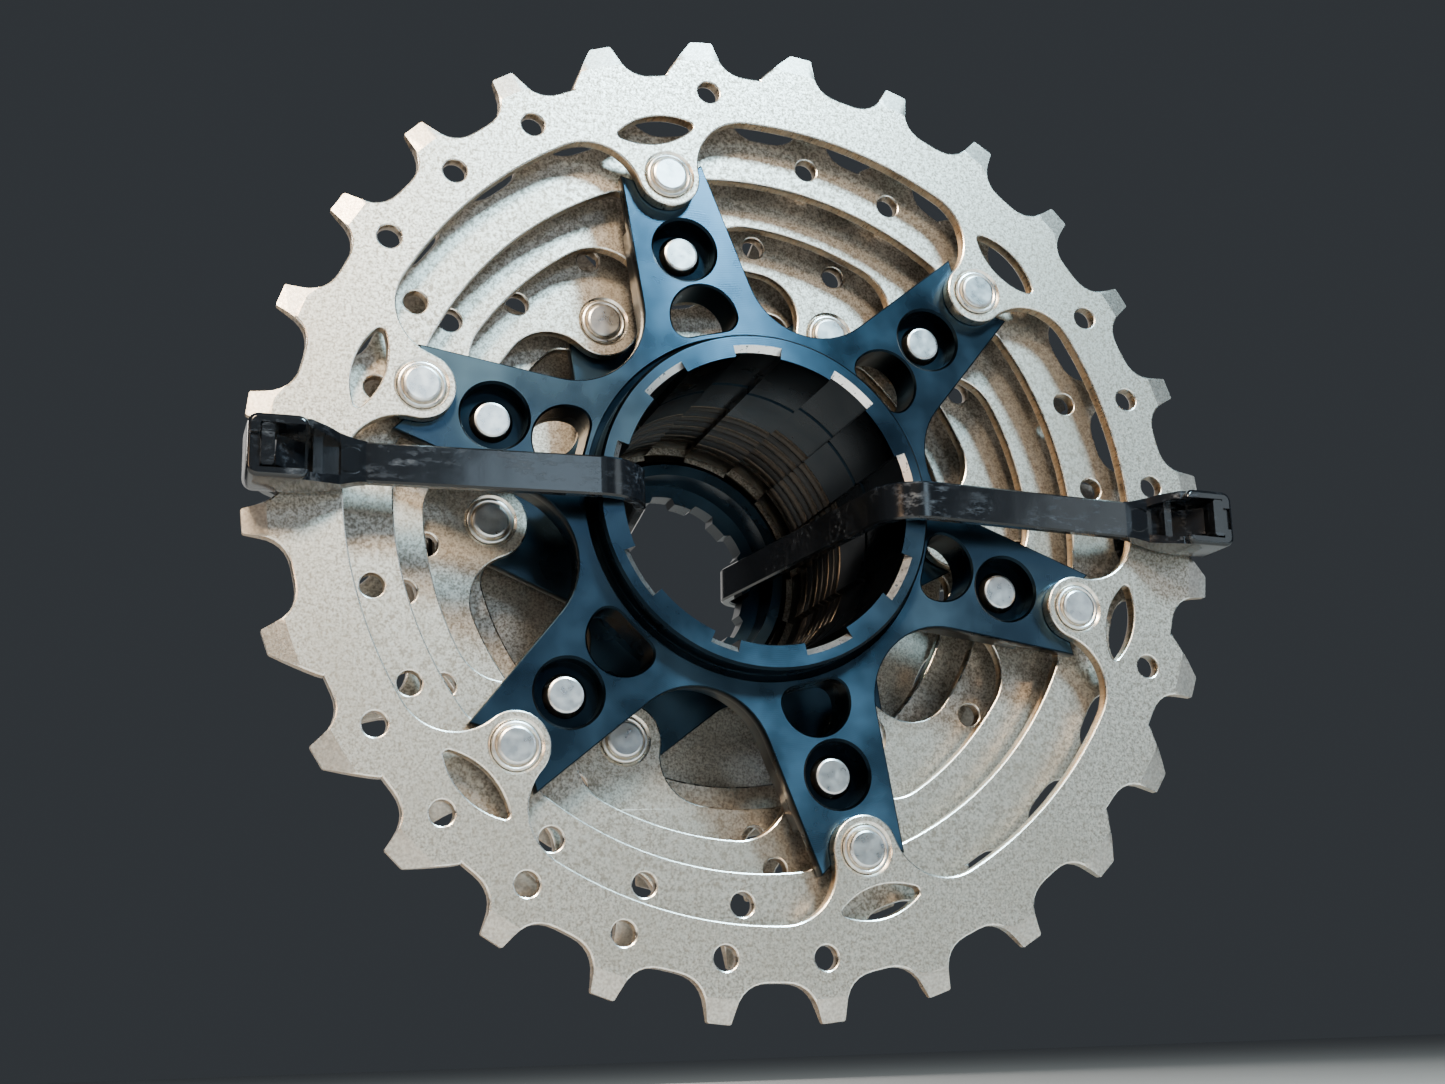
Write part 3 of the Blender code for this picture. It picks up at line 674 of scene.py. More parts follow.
def plated_chamfer():
    """The teeth's machined chamfers: greyer, with turning marks."""
    n = Nodes("plated_chamfer", 1.0, 0.4)
    grain = n.noise(0.3, 2.0)
    lines = n.noise(0.12, 1.0)
    colour = n.blend(n.ramp(grain, 0.35, 0.65), (0.40, 0.365, 0.33), (0.60, 0.565, 0.52))
    return n.finish(colour, n.ramp(lines, 0.3, 0.7, 0.30, 0.42), n.bump(lines, 0.01, 0.4))


def plated_rim():
    """The rounded rims: smoother than the faces, and painted brighter as a highlight along every rim, in
    uneven patches.
    """
    n = Nodes("plated_rim", 1.0, 0.26)
    rim_patches = n.noise(0.9, 3.0)
    # Brighter than the plated face everywhere: a painted highlight along every rim.
    colour = n.blend(n.ramp(rim_patches, 0.35, 0.65), (0.70, 0.66, 0.60), (0.92, 0.90, 0.86))
    return n.finish(colour, n.ramp(rim_patches, 0.3, 0.7, 0.34, 0.2))


def stamped_wall():
    """The sheet's sheared edge: warm, and drawn out along the press's stroke."""
    n = Nodes("stamped_wall", 1.0, 0.34)
    streaks = n.noise(0.25, 2.0, 0.6, n.stretched((1, 0.12, 1)))
    patches = n.noise(2.5, 3.0)
    colour = n.blend(n.ramp(streaks, 0.3, 0.7), (0.17, 0.12, 0.075), (0.46, 0.35, 0.24))
    colour = n.blend(n.ramp(patches, 0.4, 0.7, 0.0, 0.5), colour, (0.36, 0.32, 0.27))
    return n.finish(colour, n.ramp(streaks, 0.3, 0.7, 0.26, 0.44), n.bump(streaks, 0.03, 0.5))


def bore_wall_painted_shade():
    """The splines' walls: sheared like the edges, and painted dark as shade inside the bore."""
    n = Nodes("bore_wall_painted_shade", 1.0, 0.4)
    streaks = n.noise(0.25, 2.0, 0.6, n.stretched((1, 0.12, 1)))
    # Painted shade: the bore's walls are coloured near-black so that the inside of the bore reads dark.
    colour = n.blend(n.ramp(streaks, 0.3, 0.7), (0.035, 0.030, 0.026), (0.11, 0.09, 0.072))
    return n.finish(colour, n.ramp(streaks, 0.3, 0.7, 0.34, 0.5), n.bump(streaks, 0.03, 0.5))


def anodised(name, face):
    """Turned aluminium, anodised blue-black. Its faces carry rings left by the lathe."""
    n = Nodes(name, 1.0, 0.3)
    patches = n.noise(6.0, 3.0, 0.5)
    fine = n.noise(0.12, 2.0)
    if face:
        dark, light = (0.034, 0.064, 0.098), (0.048, 0.090, 0.134)
    else:
        # The sides are near-black: dark anodising, deepened as painted shade for the bore and the
        # counterbores.
        dark, light = (0.004, 0.008, 0.013), (0.008, 0.015, 0.022)
    colour = n.blend(n.ramp(patches, 0.35, 0.7), dark, light)
    roughness = n.ramp(patches, 0.3, 0.7, 0.24, 0.36)
    if not face:
        return n.finish(colour, roughness, n.bump(fine, 0.006, 0.4))
    n.shader.inputs["Anisotropic"].default_value = 0.6
    axes = n.add("ShaderNodeSeparateXYZ")
    n.set(axes.inputs[0], n.place)
    outward = n.add("ShaderNodeCombineXYZ")
    n.set(outward.inputs["X"], axes.outputs["X"])
    n.set(outward.inputs["Z"], axes.outputs["Z"])
    n.set(n.shader.inputs["Tangent"], outward.outputs[0])
    waver = n.maths("MULTIPLY", n.noise(4.0, 1.0), 0.3 * MM)
    ring_pitch = 0.22 * MM
    rings = n.maths("SINE", n.maths("MULTIPLY", n.maths("ADD", n.radius(), waver), 2 * pi / ring_pitch))
    return n.finish(colour, roughness, n.bump(rings, 0.004, 0.35, n.bump(fine, 0.004, 0.3)))


def bare_aluminium():
    """Where the anodising is cut or chipped away."""
    n = Nodes("bare_aluminium", 1.0, 0.3)
    chips = n.noise(0.5, 3.0, 0.7)
    colour = n.blend(n.ramp(chips, 0.60, 0.66), (0.88, 0.88, 0.90), (0.12, 0.15, 0.19))
    return n.finish(colour, n.ramp(chips, 0.3, 0.7, 0.25, 0.45), n.bump(chips, 0.02, 0.4))


def rivet_end():
    """The rivets' bright ends, clouded and finely scratched."""
    n = Nodes("rivet_end", 1.0, 0.28)
    cloud = n.noise(1.1, 2.0, 0.5)
    fine = n.noise(0.1, 1.0)
    scratches = n.noise(0.12, 2.0, 0.6, n.stretched((0.2, 1, 0.6)))
    colour = n.blend(n.ramp(cloud, 0.35, 0.65), (0.60, 0.61, 0.63), (0.74, 0.75, 0.76))
    colour = n.blend(n.ramp(scratches, 0.62, 0.75, 0.0, 0.4), colour, (0.86, 0.86, 0.86))
    return n.finish(colour, n.ramp(cloud, 0.3, 0.7, 0.26, 0.34), n.bump(fine, 0.004, 0.3))


def rivet_side():
    """The rivets' flanges and sides, duller and warmer than their ends."""
    n = Nodes("rivet_side", 1.0, 0.28)
    cloud = n.noise(0.6, 3.0, 0.6)
    colour = n.blend(n.ramp(cloud, 0.35, 0.65), (0.50, 0.45, 0.38), (0.70, 0.66, 0.59))
    return n.finish(colour, n.ramp(cloud, 0.3, 0.7, 0.28, 0.4))


def moulded_spacer():
    """Black plastic with a moulded grain."""
    n = Nodes("moulded_spacer", 0.0, 0.5)
    grain = n.noise(0.15, 2.0)
    patches = n.noise(4.0, 3.0)
    colour = n.blend(n.ramp(patches, 0.35, 0.65), (0.006, 0.006, 0.007), (0.012, 0.012, 0.014))
    return n.finish(colour, n.ramp(grain, 0.3, 0.7, 0.42, 0.58), n.bump(grain, 0.01, 0.5))


def nylon():
    """Black moulded nylon: glossy, gently uneven, with pale scuffs along the strap."""
    n = Nodes("nylon", 0.0, 0.3, Specular_IOR_Level=0.42)
    swell = n.noise(5.0, 1.0)
    fine = n.noise(0.3, 2.0)
    scratches = n.noise(0.7, 3.0, 0.65, n.stretched((0.35, 1, 1)))
    where = n.noise(6.0, 2.0)
    scuffed = n.maths("MULTIPLY", n.ramp(scratches, 0.5, 0.75), n.ramp(where, 0.42, 0.62))
    colour = n.blend(scuffed, (0.0045, 0.0055, 0.0075), (0.040, 0.048, 0.062))
    roughness = n.ramp(scuffed, 0.0, 1.0, 0.14, 0.40)
    return n.finish(colour, roughness, n.bump(fine, 0.008, 0.3, n.bump(swell, 0.25, 0.2)))


# Sprockets

FACE, CHAMFER, EDGE, WALL, BORE = range(5)


def sprocket_part(centre, normal):
    """Which surface a sprocket's face gets."""
    upright = abs(normal.z)
    if upright > FLAT:
        return FACE
    if upright > CHAMFERED:
        return CHAMFER
    # The bore's walls take the dark bore colour: painted shade inside the bore.
    if hypot(centre.x, centre.y) < BORE_EDGE:
        return BORE
    return EDGE if upright > ROUNDED else WALL


def tooth_chamfers(teeth, tip, front, back):
    """Turned rings that take the corners off the teeth on both sides."""
    start = tip - TOOTH_CHAMFER
    inset, outset = 0.3, 1.0
    high = inset * TOOTH_CHAMFER_SLOPE
    low = (tip + outset - start) * TOOTH_CHAMFER_SLOPE
    rings = []
    for face, out in ((front, 1), (back, -1)):
        profile = [
            (start - inset, face + out * high),
            (tip + outset, face - out * low),
            (tip + outset, face + out * (high + 0.05)),
        ]
        rings.append(spun(profile, steps=teeth * 8, closed=True))
    return joined(rings)


def wedge(outline, heights, end):
    """A cutter with an uneven floor under a polygon, closed at another height."""
    shape = bmesh.new()
    floor = [shape.verts.new((*p, z)) for p, z in zip(outline, heights)]
    lid = [shape.verts.new((*p, end)) for p in outline]
    for k in range(1, len(outline) - 1):
        shape.faces.new((floor[0], floor[k], floor[k + 1]))
    shape.faces.new(lid)
    for k in range(len(outline)):
        j = (k + 1) % len(outline)
        shape.faces.new((floor[k], floor[j], lid[j], lid[k]))
    return closed_mesh("wedge", shape)


def swept_chamfers(teeth, tip, front):
    """Oblique cuts across some teeth, each starting at a small step that curves down one flank."""
    drops = [SWEPT_STEP] * len(SWEPT_EDGE) + [SWEPT_STEP + SWEPT_SLOPE * run for run in SWEPT_FAR_RUNS]
    outline = [(tip - down, -across) for across, down in SWEPT_EDGE + SWEPT_FAR]
    cutters = []
    for i in SWEPT[teeth]:
        tooth = radians(FIRST_TOOTH[teeth]) + 2 * pi * i / teeth
        cutters.append(wedge(turned_by(outline, tooth), [front - d for d in drops], front + 1))
    return joined(cutters)


def drilled_outlines(teeth):
    radius = pitch_radius(teeth) - HOLE_BELOW_PITCH
    first = radians(FIRST_TOOTH[teeth])
    angles = [first + 2 * pi * i / teeth for i in DRILLED.get(teeth, ())]
    return [circle(polar(radius, a), HOLE_RADIUS, 24) for a in angles]


def dishes(circle_radius, phase, front, back):
    """Cutters for the dished holes that the rivets sit in."""
    rings = [(DISH_RADIUS + 0.3, front + CLEAR), (DISH_RADIUS, front - 0.12)]
    rings += [(SHANK_HOLE, front - DISH_DEPTH), (SHANK_HOLE, back - CLEAR)]
    outlines = [(circle((0, 0), r, 40), z) for r, z in rings]
    return joined([loft(outlines, polar(circle_radius, a)) for a in arm_angles(phase)])


def ramps(teeth, tip, back):
    """Sloped hollows on the outboard side, where the chain is picked up."""
    root = pitch_radius(teeth) - SEAT_BOTTOM
    count = 2 if teeth < FEW_RAMPS_BELOW else 4
    inner, outer = root - RAMP_BELOW_ROOT, tip + 1
    cutters = []
    for i in range(count):
        angle = radians(FIRST_TOOTH[teeth]) + 2 * pi * (round(teeth * i / count) + 0.5) / teeth
        left, right = angle - RAMP_LEFT / root, angle + RAMP_RIGHT / root
        outline = [polar(inner, left), polar(outer, left), polar(outer, right), polar(inner, right)]
        cutters.append(wedge(outline, [back - depth for depth in RAMP_DEPTHS], back - 1))
    return joined(cutters)


def sprocket(teeth, surfaces):
    """A riveted ring, a loose splined plate, or one of the two smallest, which have bosses."""
    node = f"sprocket_{teeth}t"
    _, tip, first, last = spans(node)
    front, back = PLATE - last, -last
    cuts = [("DIFFERENCE", tooth_chamfers(teeth, tip, front, back))]
    if teeth in SWEPT:
        cuts.append(("DIFFERENCE", swept_chamfers(teeth, tip, front)))
    if teeth != ORDER[-1]:
        cuts.append(("DIFFERENCE", ramps(teeth, tip, back)))
    outlines = [tooth_outline(teeth, tip)]
    if teeth in RINGS:
        phase = LARGE_PHASE if teeth in (28, 25, 23) else SMALL_PHASE
        ring = RINGS[teeth]
        outlines.append(tabbed_opening(**ring, phase=phase))
        outlines += drilled_outlines(teeth)
        if teeth == 28:
            outlines += [lens_outline(a) for a in arm_angles(phase)]
        cuts.append(("DIFFERENCE", dishes(ring["rivets"], phase, front, back)))
    elif last - first < PLATE + 0.1:
        outlines.append(spline_outline())
    else:
        bore = spline_outline() if teeth == 12 else spline_outline(SMALLEST_MAJOR, SMALLEST_MINOR)
        boss = extruded([circle((0, 0), BOSS_RADIUS[teeth], 96)], -first, front - BOSS_SHORT, 0.2)
        cuts = [("UNION", boss), ("DIFFERENCE", hole(bore, -first, back, 0.15))] + cuts
    mesh = combined(extruded(outlines, front, back), *cuts)
    return finished(f"{node}_piece", mesh, node, surfaces, sprocket_part)


# Carriers

TURNED, SIDE, BARE = range(3)


def carrier_part(centre, normal):
    return TURNED if abs(normal.z) > 0.99 else SIDE


def in_counterbore(centre):
    """Whether a place is sunk below the large arms' faces, outside the hub."""
    sunk = -FRONT_PLATE_END - 1 < centre.z < -ARM_FACE - 0.2
    return sunk and hypot(centre.x, centre.y) > COLLAR_RADIUS


def large_carrier_part(centre, normal):
    radius = hypot(centre.x, centre.y)
    notch = SPLINE_MAJOR - 0.05 < radius < SPLINE_MAJOR + NOTCH_CHAMFER
    if notch and centre.z > 0.4 and 0.3 < normal.z < 0.95:
        return BARE
    # Counterbore floors take the near-black side colour: painted shade in the counterbores.
    return SIDE if in_counterbore(centre) else carrier_part(centre, normal)


def hub(top, bottom, steps):
    """A carrier's hub before its bore is cut."""
    edge = COLLAR_RADIUS - HUB_CHAMFER
    profile = [(0, top), (edge, top), (COLLAR_RADIUS, top - HUB_CHAMFER)]
    profile += [(COLLAR_RADIUS, bottom + HUB_CHAMFER), (edge, bottom), (0, bottom)]
    return spun(profile, steps)


def large_spider(surfaces):
    """The carrier of the three largest rings, with its grooved collar and its counterbored arms."""
    node = "large_spider"
    _, _, first, last = spans(node)
    top, bottom = -first, -last
    front_arms = arm_outline(**LARGE_ARMS, phase=LARGE_PHASE)
    back_arms = arm_outline(**LARGE_ARM_BACKS, phase=LARGE_PHASE)
    back_bottom = PLATE_GAP - spans("sprocket_23t")[2]
    arms = extruded([front_arms], -ARM_FACE, -FRONT_PLATE_END, ARM_RIM)
    backs = extruded([back_arms], 0.5 - FRONT_PLATE_END, back_bottom, ARM_RIM)
    inner, outer = GROOVE
    groove_floor = -ARM_FACE - GROOVE_DEPTH
    groove = spun(
        [
            (outer + 0.15, CLEAR - ARM_FACE),
            (outer, -ARM_FACE - 0.1),
            (outer, groove_floor),
            (inner + 0.02, groove_floor),
            (inner + 0.02, CLEAR - ARM_FACE),
        ],
        180,
        closed=True,
    )
    bore, shank = circle((0, 0), COUNTERBORE_RADIUS, 56), circle((0, 0), SHANK_HOLE, 32)
    cutters, shanks = [groove], []
    for angle in arm_angles(LARGE_PHASE):
        inner_rivet, outer_rivet = polar(INNER_RIVETS, angle), polar(OUTER_RIVETS, angle)
        cutters.append(hole(bore, -ARM_FACE, -COUNTERBORE_FLOOR, 0.28, inner_rivet, through=False))
        cutters.append(hole(d_outline(angle), -ARM_FACE, back_bottom, 0.22))
        cutters.append(hole(shank, -ARM_FACE, -FRONT_PLATE_END, 0.1, outer_rivet))
        shanks.append(hole(shank, -COUNTERBORE_FLOOR, back_bottom, 0.1, inner_rivet))
    c = NOTCH_CHAMFER
    spline = loft(
        [
            (spline_outline(SPLINE_MAJOR + c + 0.1, SPLINE_MINOR + 0.3), top + CLEAR),
            (spline_outline(SPLINE_MAJOR + c, SPLINE_MINOR + 0.2), top),
            (spline_outline(), top - c),
            (spline_outline(), bottom + 0.2),
            (spline_outline(SPLINE_MAJOR + 0.3, SPLINE_MINOR + 0.3), bottom - CLEAR),
        ]
    )
    mesh = combined(
        arms,
        ("UNION", backs),
        ("UNION", hub(top, bottom, 180)),
        ("DIFFERENCE", joined(cutters)),
        ("DIFFERENCE", joined(shanks)),
        ("DIFFERENCE", spline),
    )
    return finished(f"{node}_piece", mesh, node, surfaces, large_carrier_part)


def small_spider(surfaces):
    """The carrier of the second cluster's two rings."""
    node = "small_spider"
    _, _, first, last = spans(node)
    face = spans("sprocket_21t")[3] + PLATE_GAP
    back = spans("sprocket_19t")[2] - PLATE_GAP
    arms = extruded([arm_outline(**SMALL_ARMS, phase=SMALL_PHASE)], -face, -back, ARM_RIM)
    shank = circle((0, 0), SHANK_HOLE, 32)
    holes = [hole(shank, -face, -back, 0.1, polar(SMALL_RIVETS, a)) for a in arm_angles(SMALL_PHASE)]
    mesh = combined(
        arms,
        ("UNION", hub(-first, -last, 144)),
        ("DIFFERENCE", joined(holes)),
        ("DIFFERENCE", hole(spline_outline(), -first, -last, 0.2)),
    )
    return finished(f"{node}_piece", mesh, node, surfaces, carrier_part)


# Rivets


def rivet_mesh(length, top, flared):
    """A turned rivet. Its z is measured from the face that its end stands out of."""
    r = SHANK_RADIUS
    profile = [(0, top), (r - 0.3, top)]
    profile += [(r - 0.1, top - 0.06), (r, top - 0.2)]
    if flared:
        profile += [
            (r, 0.02),
            (r + 0.07, -0.04),
            (r + 0.18, 0.03),
            (r + 0.34, 0.09),
            (r + 0.50, 0.05),
            (r + 0.60, -0.04),
            (r + 0.62, -0.16),
            (r, -0.5),
        ]
    profile += [
        (r, -length),
        (FOOT_RADIUS - 0.12, -length),
        (FOOT_RADIUS, -length - 0.12),
        (FOOT_RADIUS - 0.05, -length - FOOT_HEIGHT * 0.6),
        (FOOT_RADIUS - 0.45, -length - FOOT_HEIGHT),
        (0, -length - FOOT_HEIGHT),
    ]
    return spun(profile, 48)


def rivet_part(centre, normal):
    """Whether a face is on a rivet's bright end (0) or its side (1), measured from the rivet's axis."""
    return 0 if normal.z > 0.9 or hypot(centre.x, centre.y) < SHANK_RADIUS - 0.05 else 1


def rivets(label, circle_radius, phase, face, flared, surfaces):
    """The six rivets of a circle."""
    for i, angle in enumerate(arm_angles(phase)):
        node = f"{label}_rivet_{i + 1}"
        _, _, first, last = spans(node)
        mesh = rivet_mesh(last - FOOT_HEIGHT - face, face - first, flared)
        place = Vector((*polar(circle_radius, angle), -face))
        mesh.transform(Matrix.Translation(place))
        finished(
            f"{node}_piece",
            mesh,
            node,
            surfaces,
            lambda centre, normal: rivet_part(centre - place, normal),
        )


# Spacers, washer and lockring


def spacer(node, surfaces):
    """A splined ring with a small round pocket in each land, on both faces."""
    _, outer, first, last = spans(node)
    ring = extruded([circle((0, 0), outer, 120), spline_outline()], -first, -last, 0.12)
    pocket = circle((0, 0), POCKET_RADIUS, 20)
    pockets = []
    for i in range(SPLINES):
        place = polar(POCKET_CIRCLE, SPLINE_FIRST + 2 * pi * (i + 0.5) / SPLINES)
        pockets.append(loft([(pocket, POCKET_DEPTH - last), (pocket, -last - CLEAR)], place))
        pockets.append(loft([(pocket, CLEAR - first), (pocket, -first - POCKET_DEPTH)], place))
    mesh = combined(ring, ("DIFFERENCE", joined(pockets)))
    return finished(f"{node}_piece", mesh, node, surfaces)


def washer(surfaces):
    node = "lockring_washer"
    inner, outer, first, last = spans(node)
    mesh = extruded([circle((0, 0), outer, 144), circle((0, 0), inner, 144)], -first, -last, 0.08)
    return finished(f"{node}_piece", mesh, node, surfaces, sprocket_part)


def lockring(surfaces):
    """The flange with its serrated underside, the tool's splines, and the threaded sleeve."""
    node = "lockring"
    _, flange_radius, first, last = spans(node)
    underside = spans("lockring_washer")[3] + 0.3
    sleeve, web, c = SLEEVE_RADIUS, last - SLEEVE_WEB, 0.25
    profile = [(sleeve - 0.5, -first), (sleeve, -first - 0.4)]
    depth = first + 0.6
    while depth + THREAD_PITCH < underside - 0.8:
        profile.append((sleeve, -depth))
        profile.append((sleeve - THREAD_DEPTH, -depth - THREAD_PITCH / 2))
        depth += THREAD_PITCH
    profile += [
        (sleeve, -depth),
        (sleeve, -underside),
        (flange_radius - c, -underside),
        (flange_radius, -underside - c),
        (flange_radius, c - last),
        (flange_radius - c, -last),
        (TOOL_MINOR / 2, -last),
        (TOOL_MINOR / 2, -web),
        (SLEEVE_BORE, -web),
        (SLEEVE_BORE, -first),
    ]
    body = spun(profile, 144, closed=True)
    outline, flare = tool_outline(), tool_outline(0.35)
    tool = loft([(outline, 1 - web), (outline, c - last), (flare, -last - CLEAR)])
    ends = (flange_radius - SERRATION_LENGTH, flange_radius + 0.5)
    rows = [[(r, across, z - underside) for across, z in SERRATION] for r in ends]
    serrations = []
    for i in range(SERRATIONS):
        groove = bridged("serration", rows)
        groove.transform(Matrix.Rotation(2 * pi * i / SERRATIONS, 4, "Z"))
        serrations.append(groove)
    mesh = combined(body, ("DIFFERENCE", tool), ("DIFFERENCE", joined(serrations)))
    return finished(f"{node}_piece", mesh, node, surfaces, carrier_part)


# Cable ties. U runs outward from the axle.


def rounded_path(corners, steps=14):
    """A path of (u, z, bend radius) corners, each bend an arc between straight runs."""
    points = [corners[0][:2]]
    for (u0, z0, _), (u1, z1, radius), (u2, z2, _) in zip(corners, corners[1:], corners[2:]):
        into, out = (u1 - u0, z1 - z0), (u2 - u1, z2 - z1)
        start_angle, end_angle = atan2(into[1], into[0]), atan2(out[1], out[0])
        turn = (end_angle - start_angle + pi) % (2 * pi) - pi
        side = 1 if turn > 0 else -1
        run = radius * abs(tan(turn / 2))
        start = (u1 - run * cos(start_angle), z1 - run * sin(start_angle))
        beside = (-side * radius * sin(start_angle), side * radius * cos(start_angle))
        centre = (start[0] + beside[0], start[1] + beside[1])
        from_angle = start_angle - side * pi / 2
        points += arc(centre, radius, from_angle, from_angle + turn, steps)
    points.append(corners[-1][:2])
    return points


def resampled(points, spacing):
    """The same path with even steps, and the distance along it of each point."""
    lengths = [0.0]
    for (u0, z0), (u1, z1) in zip(points, points[1:]):
        lengths.append(lengths[-1] + hypot(u1 - u0, z1 - z0))
    count = int(lengths[-1] / spacing)
    even, k = [], 0
    for i in range(count + 1):
        target = lengths[-1] * i / count
        while k < len(points) - 2 and lengths[k + 1] < target:
            k += 1
        t = (target - lengths[k]) / (lengths[k + 1] - lengths[k])
        (u0, z0), (u1, z1) = points[k], points[k + 1]
        even.append((u0 + (u1 - u0) * t, z0 + (z1 - z0) * t, target))
    return even


def strap_section(tooth):
    """Half-width and offset pairs round the strap. The side towards the stack carries the teeth."""
    w, t = STRAP_WIDTH / 2, STRAP_THICK / 2
    rail, corner = w - 0.75, 0.22
    right = [(rail, -t), (w - corner, -t), (w, -t + corner), (w, t - corner)]
    right += [(w - corner, t), (rail, t), (rail - 0.1, t - tooth)]
    left = [(-across, offset) for across, offset in reversed(right)]
    return left[-2:] + right + left[:-2]


def strap_mesh(path, teeth_from, teeth_to):
    """The strap swept along its path, with saw teeth on the stretch that the head grips."""
    stations = resampled(path, STRAP_STEP)
    rows = []
    for i, (u, z, along) in enumerate(stations):
        (u0, z0, _), (u1, z1, _) = stations[max(i - 1, 0)], stations[min(i + 1, len(stations) - 1)]
        length = hypot(u1 - u0, z1 - z0)
        inward = (-(z1 - z0) / length, (u1 - u0) / length)
        within = teeth_from < along < teeth_to
        tooth = STRAP_TOOTH_DEPTH * (0.35 + 0.65 * (along / STRAP_TOOTH_PITCH % 1)) if within else 0.0
        section = strap_section(tooth)
        rows.append([(u + inward[0] * n, w, z + inward[1] * n) for w, n in section])
    return bridged("strap", rows)


def rounded_box(u, w, corner, steps=6):
    """A rectangle's outline on the (u, w) plane with rounded corners."""
    points = []
    centres = ((u[1] - corner, w[1] - corner), (u[0] + corner, w[1] - corner))
    centres += ((u[0] + corner, w[0] + corner), (u[1] - corner, w[0] + corner))
    for k, centre in enumerate(centres):
        points += arc(centre, corner, k * pi / 2, (k + 1) * pi / 2, steps)
    return points


def along_u(sections):
    """A closed body through rectangles across U, each (u, half-width, bottom, top)."""
    rows = []
    for u, half, bottom, top in sections:
        rows.append([(u, -half, bottom), (u, half, bottom), (u, half, top), (u, -half, top)])
    return bridged("block", rows)


def block(u_from, u_to, half, bottom, top):
    return along_u([(u_from, half, bottom, top), (u_to, half, bottom, top)])


def tie_head(tail_u, head_top):
    """The locking head: an open box with a window, a pawl inside, and a tapered, hollowed neck."""
    u_in, u_out, bottom = tail_u - HEAD_INWARD, tail_u + HEAD_OUTWARD, head_top - HEAD_HEIGHT
    outline = rounded_box((u_in, u_out), (-HEAD_HALF, HEAD_HALF), 1.15)
    box = extruded([outline], head_top, bottom, 0.4, 3)
    neck = along_u(
        [
            (u_in - 6.2, 2.2, 1.1, 2.42),
            (u_in - 5.4, 2.25, 1.0, 2.6),
            (u_in - 3.4, 2.75, 0.9, 2.85),
            (u_in - 2.2, 3.0, 0.8, 3.9),
            (u_in - 0.2, 3.25, 0.6, 5.2),
            (u_in + 0.9, 3.25, 0.6, 5.3),
        ]
    )
    hollow = along_u([(u_in - 3.5, 1.7, 2.1, 7.0), (u_in - 1.55, 2.2, 2.1, 7.0)])
    block_top = along_u([(u_in - 1.7, 2.2, 3.5, 7.0), (u_in - 0.5, 2.35, 3.5, 7.0)])
    above = head_top + 1
    window = block(u_in - 0.6, tail_u - 0.8, 2.35, bottom + 1.3, above)
    slot = block(tail_u - 1.5, tail_u + 0.75, 2.38, bottom - 1, above)
    step = block(tail_u - 4.4, u_out - 0.35, 1.3, head_top - 0.35, above)
    pawl = along_u(
        [
            (u_in + 0.1, 1.6, bottom + 0.9, bottom + 2.0),
            (tail_u - 2.2, 1.6, bottom + 2.0, bottom + 3.1),
            (tail_u - 0.95, 1.6, bottom + 3.3, bottom + 4.2),
        ]
    )
    return combined(
        box,
        ("UNION", neck),
        ("DIFFERENCE", hollow),
        ("DIFFERENCE", block_top),
        ("DIFFERENCE", window),
        ("DIFFERENCE", slot),
        ("DIFFERENCE", step),
        ("UNION", pawl),
    )


def cable_tie(side, surfaces):
    """A closed tie: through the bore, round the small end and back up into its head."""
    node = f"cable_tie_{side}"
    lo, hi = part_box(node)
    reach = max(-lo.x, hi.x) / MM
    tail_u = reach - HEAD_OUTWARD
    front, behind = -lo.y / MM, -hi.y / MM
    strap_low = behind + STRAP_THICK / 2
    corners = [
        (tail_u - 9.3, 1.75, 0),
        (14.7, 3.05, 5.5),
        (8.9, strap_low, 3.0),
        (21.3, strap_low, 3.5),
        (tail_u, -2.8, 5.0),
        (tail_u, front - 0.05, 0),
    ]
    path = rounded_path(corners)
    total = sum(hypot(b[0] - a[0], b[1] - a[1]) for a, b in zip(path, path[1:]))
    strap = strap_mesh(path, *(total - back for back in STRAP_TEETH))
    head = tie_head(tail_u, front - 0.25)
    mark_profile = [(1.35, 2.58), (1.5, 2.58), (1.5, 3.4), (1.35, 3.4)]
    mark = spun(mark_profile, 40, (tail_u - MARK_U, 0), closed=True)
    mesh = combined(strap, ("UNION", head), ("DIFFERENCE", mark))
    turn = Matrix.Rotation(TIE_YAW[side], 4, "Z")
    mesh.transform(Matrix.Translation((0, TIE_OFFSET[side], 0)) @ turn)
    return finished(f"{node}_piece", mesh, node, surfaces, crease=TIE_CREASE)


# Stage


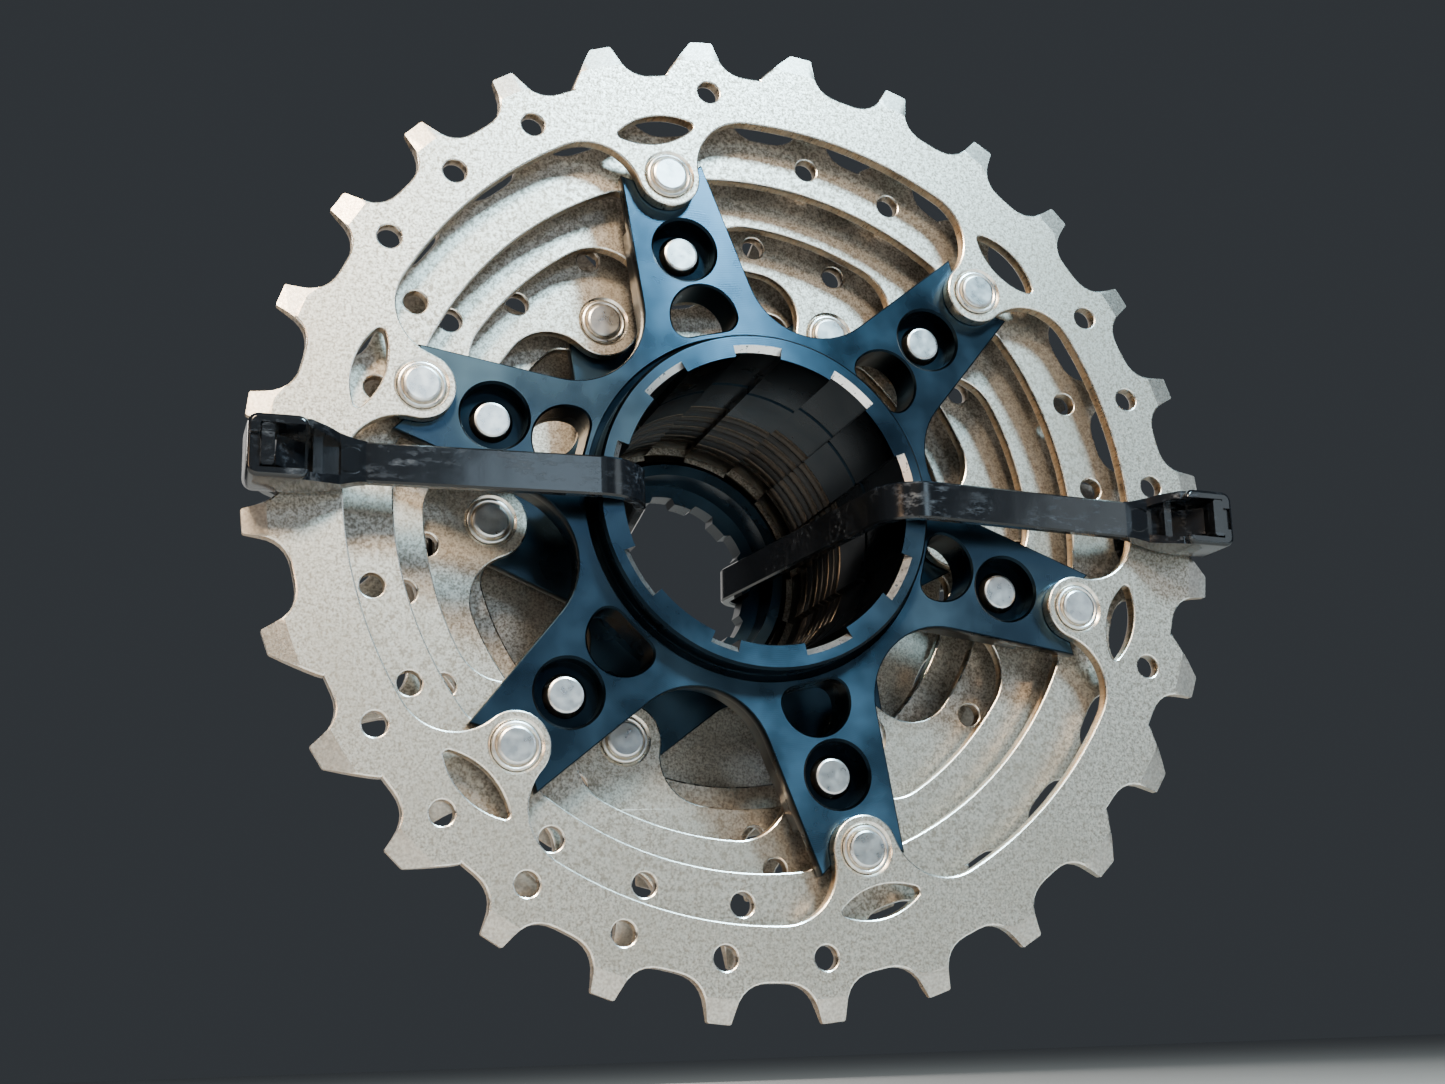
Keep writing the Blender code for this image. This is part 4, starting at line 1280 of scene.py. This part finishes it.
def stage():
    """A pale floor, soft lamps and the camera."""
    shape = bmesh.new()
    bmesh.ops.create_grid(shape, x_segments=1, y_segments=1, size=FLOOR_SIZE)
    mesh = bpy.data.meshes.new("floor")
    shape.to_mesh(mesh)
    shape.free()
    floor = bpy.data.objects.new("floor", mesh)
    floor.location = (0, 0, CAD_BOX[0].z - FLOOR_DROP)
    bpy.context.scene.collection.objects.link(floor)
    pale = Nodes("pale_floor", 0.0, 0.7)
    colour = pale.blend(pale.noise(40, 2.0), (0.72, 0.71, 0.70), (0.76, 0.75, 0.74))
    mesh.materials.append(pale.finish(colour))

    world = bpy.data.worlds.new("studio")
    bpy.context.scene.world = world
    world.use_nodes = True
    background = world.node_tree.nodes["Background"]
    background.inputs["Color"].default_value = WORLD_COLOUR
    background.inputs["Strength"].default_value = WORLD_STRENGTH

    for each in LAMPS:
        lamp(*each)

    camera = bpy.data.cameras.new("camera")
    camera.lens = CAMERA_LENS
    watcher = bpy.data.objects.new("camera", camera)
    bpy.context.scene.collection.objects.link(watcher)
    ahead = Vector(CAMERA_AHEAD).normalized()
    right = ahead.cross(Vector(CAMERA_UP)).normalized()
    up = right.cross(ahead)
    place = Matrix((right, up, -ahead)).transposed().to_4x4()
    place.translation = CAMERA_PLACE
    watcher.matrix_world = place
    bpy.context.scene.camera = watcher


def lamp(name, place, size, power, colour):
    """A soft round lamp that faces the origin."""
    light = bpy.data.lights.new(name, "AREA")
    light.shape = "DISK"
    light.size = size
    light.energy = power
    light.color = colour
    holder = bpy.data.objects.new(name, light)
    holder.location = place
    holder.rotation_euler = (-Vector(place)).to_track_quat("-Z", "Y").to_euler()
    bpy.context.scene.collection.objects.link(holder)


def main():
    steel = [plated_face(), plated_chamfer(), plated_rim(), stamped_wall(), bore_wall_painted_shade()]
    for teeth in ORDER:
        sprocket(teeth, steel)
    alloy = [anodised("anodised_face", True), anodised("anodised_side", False), bare_aluminium()]
    large_spider(alloy)
    small_spider(alloy)
    ends = [rivet_end(), rivet_side()]
    rivets("outer", OUTER_RIVETS, LARGE_PHASE, 0.0, True, ends)
    rivets("inner", INNER_RIVETS, LARGE_PHASE, COUNTERBORE_FLOOR - 0.3, False, ends)
    rivets("small", SMALL_RIVETS, SMALL_PHASE, spans("sprocket_21t")[2], True, ends)
    plastic = [moulded_spacer()]
    for pair in ("17_15", "15_14", "14_13"):
        spacer(f"spacer_{pair}", plastic)
    washer(steel)
    lockring(alloy)
    black = [nylon()]
    for side in ("left", "right"):
        cable_tie(side, black)
    stage()


main()
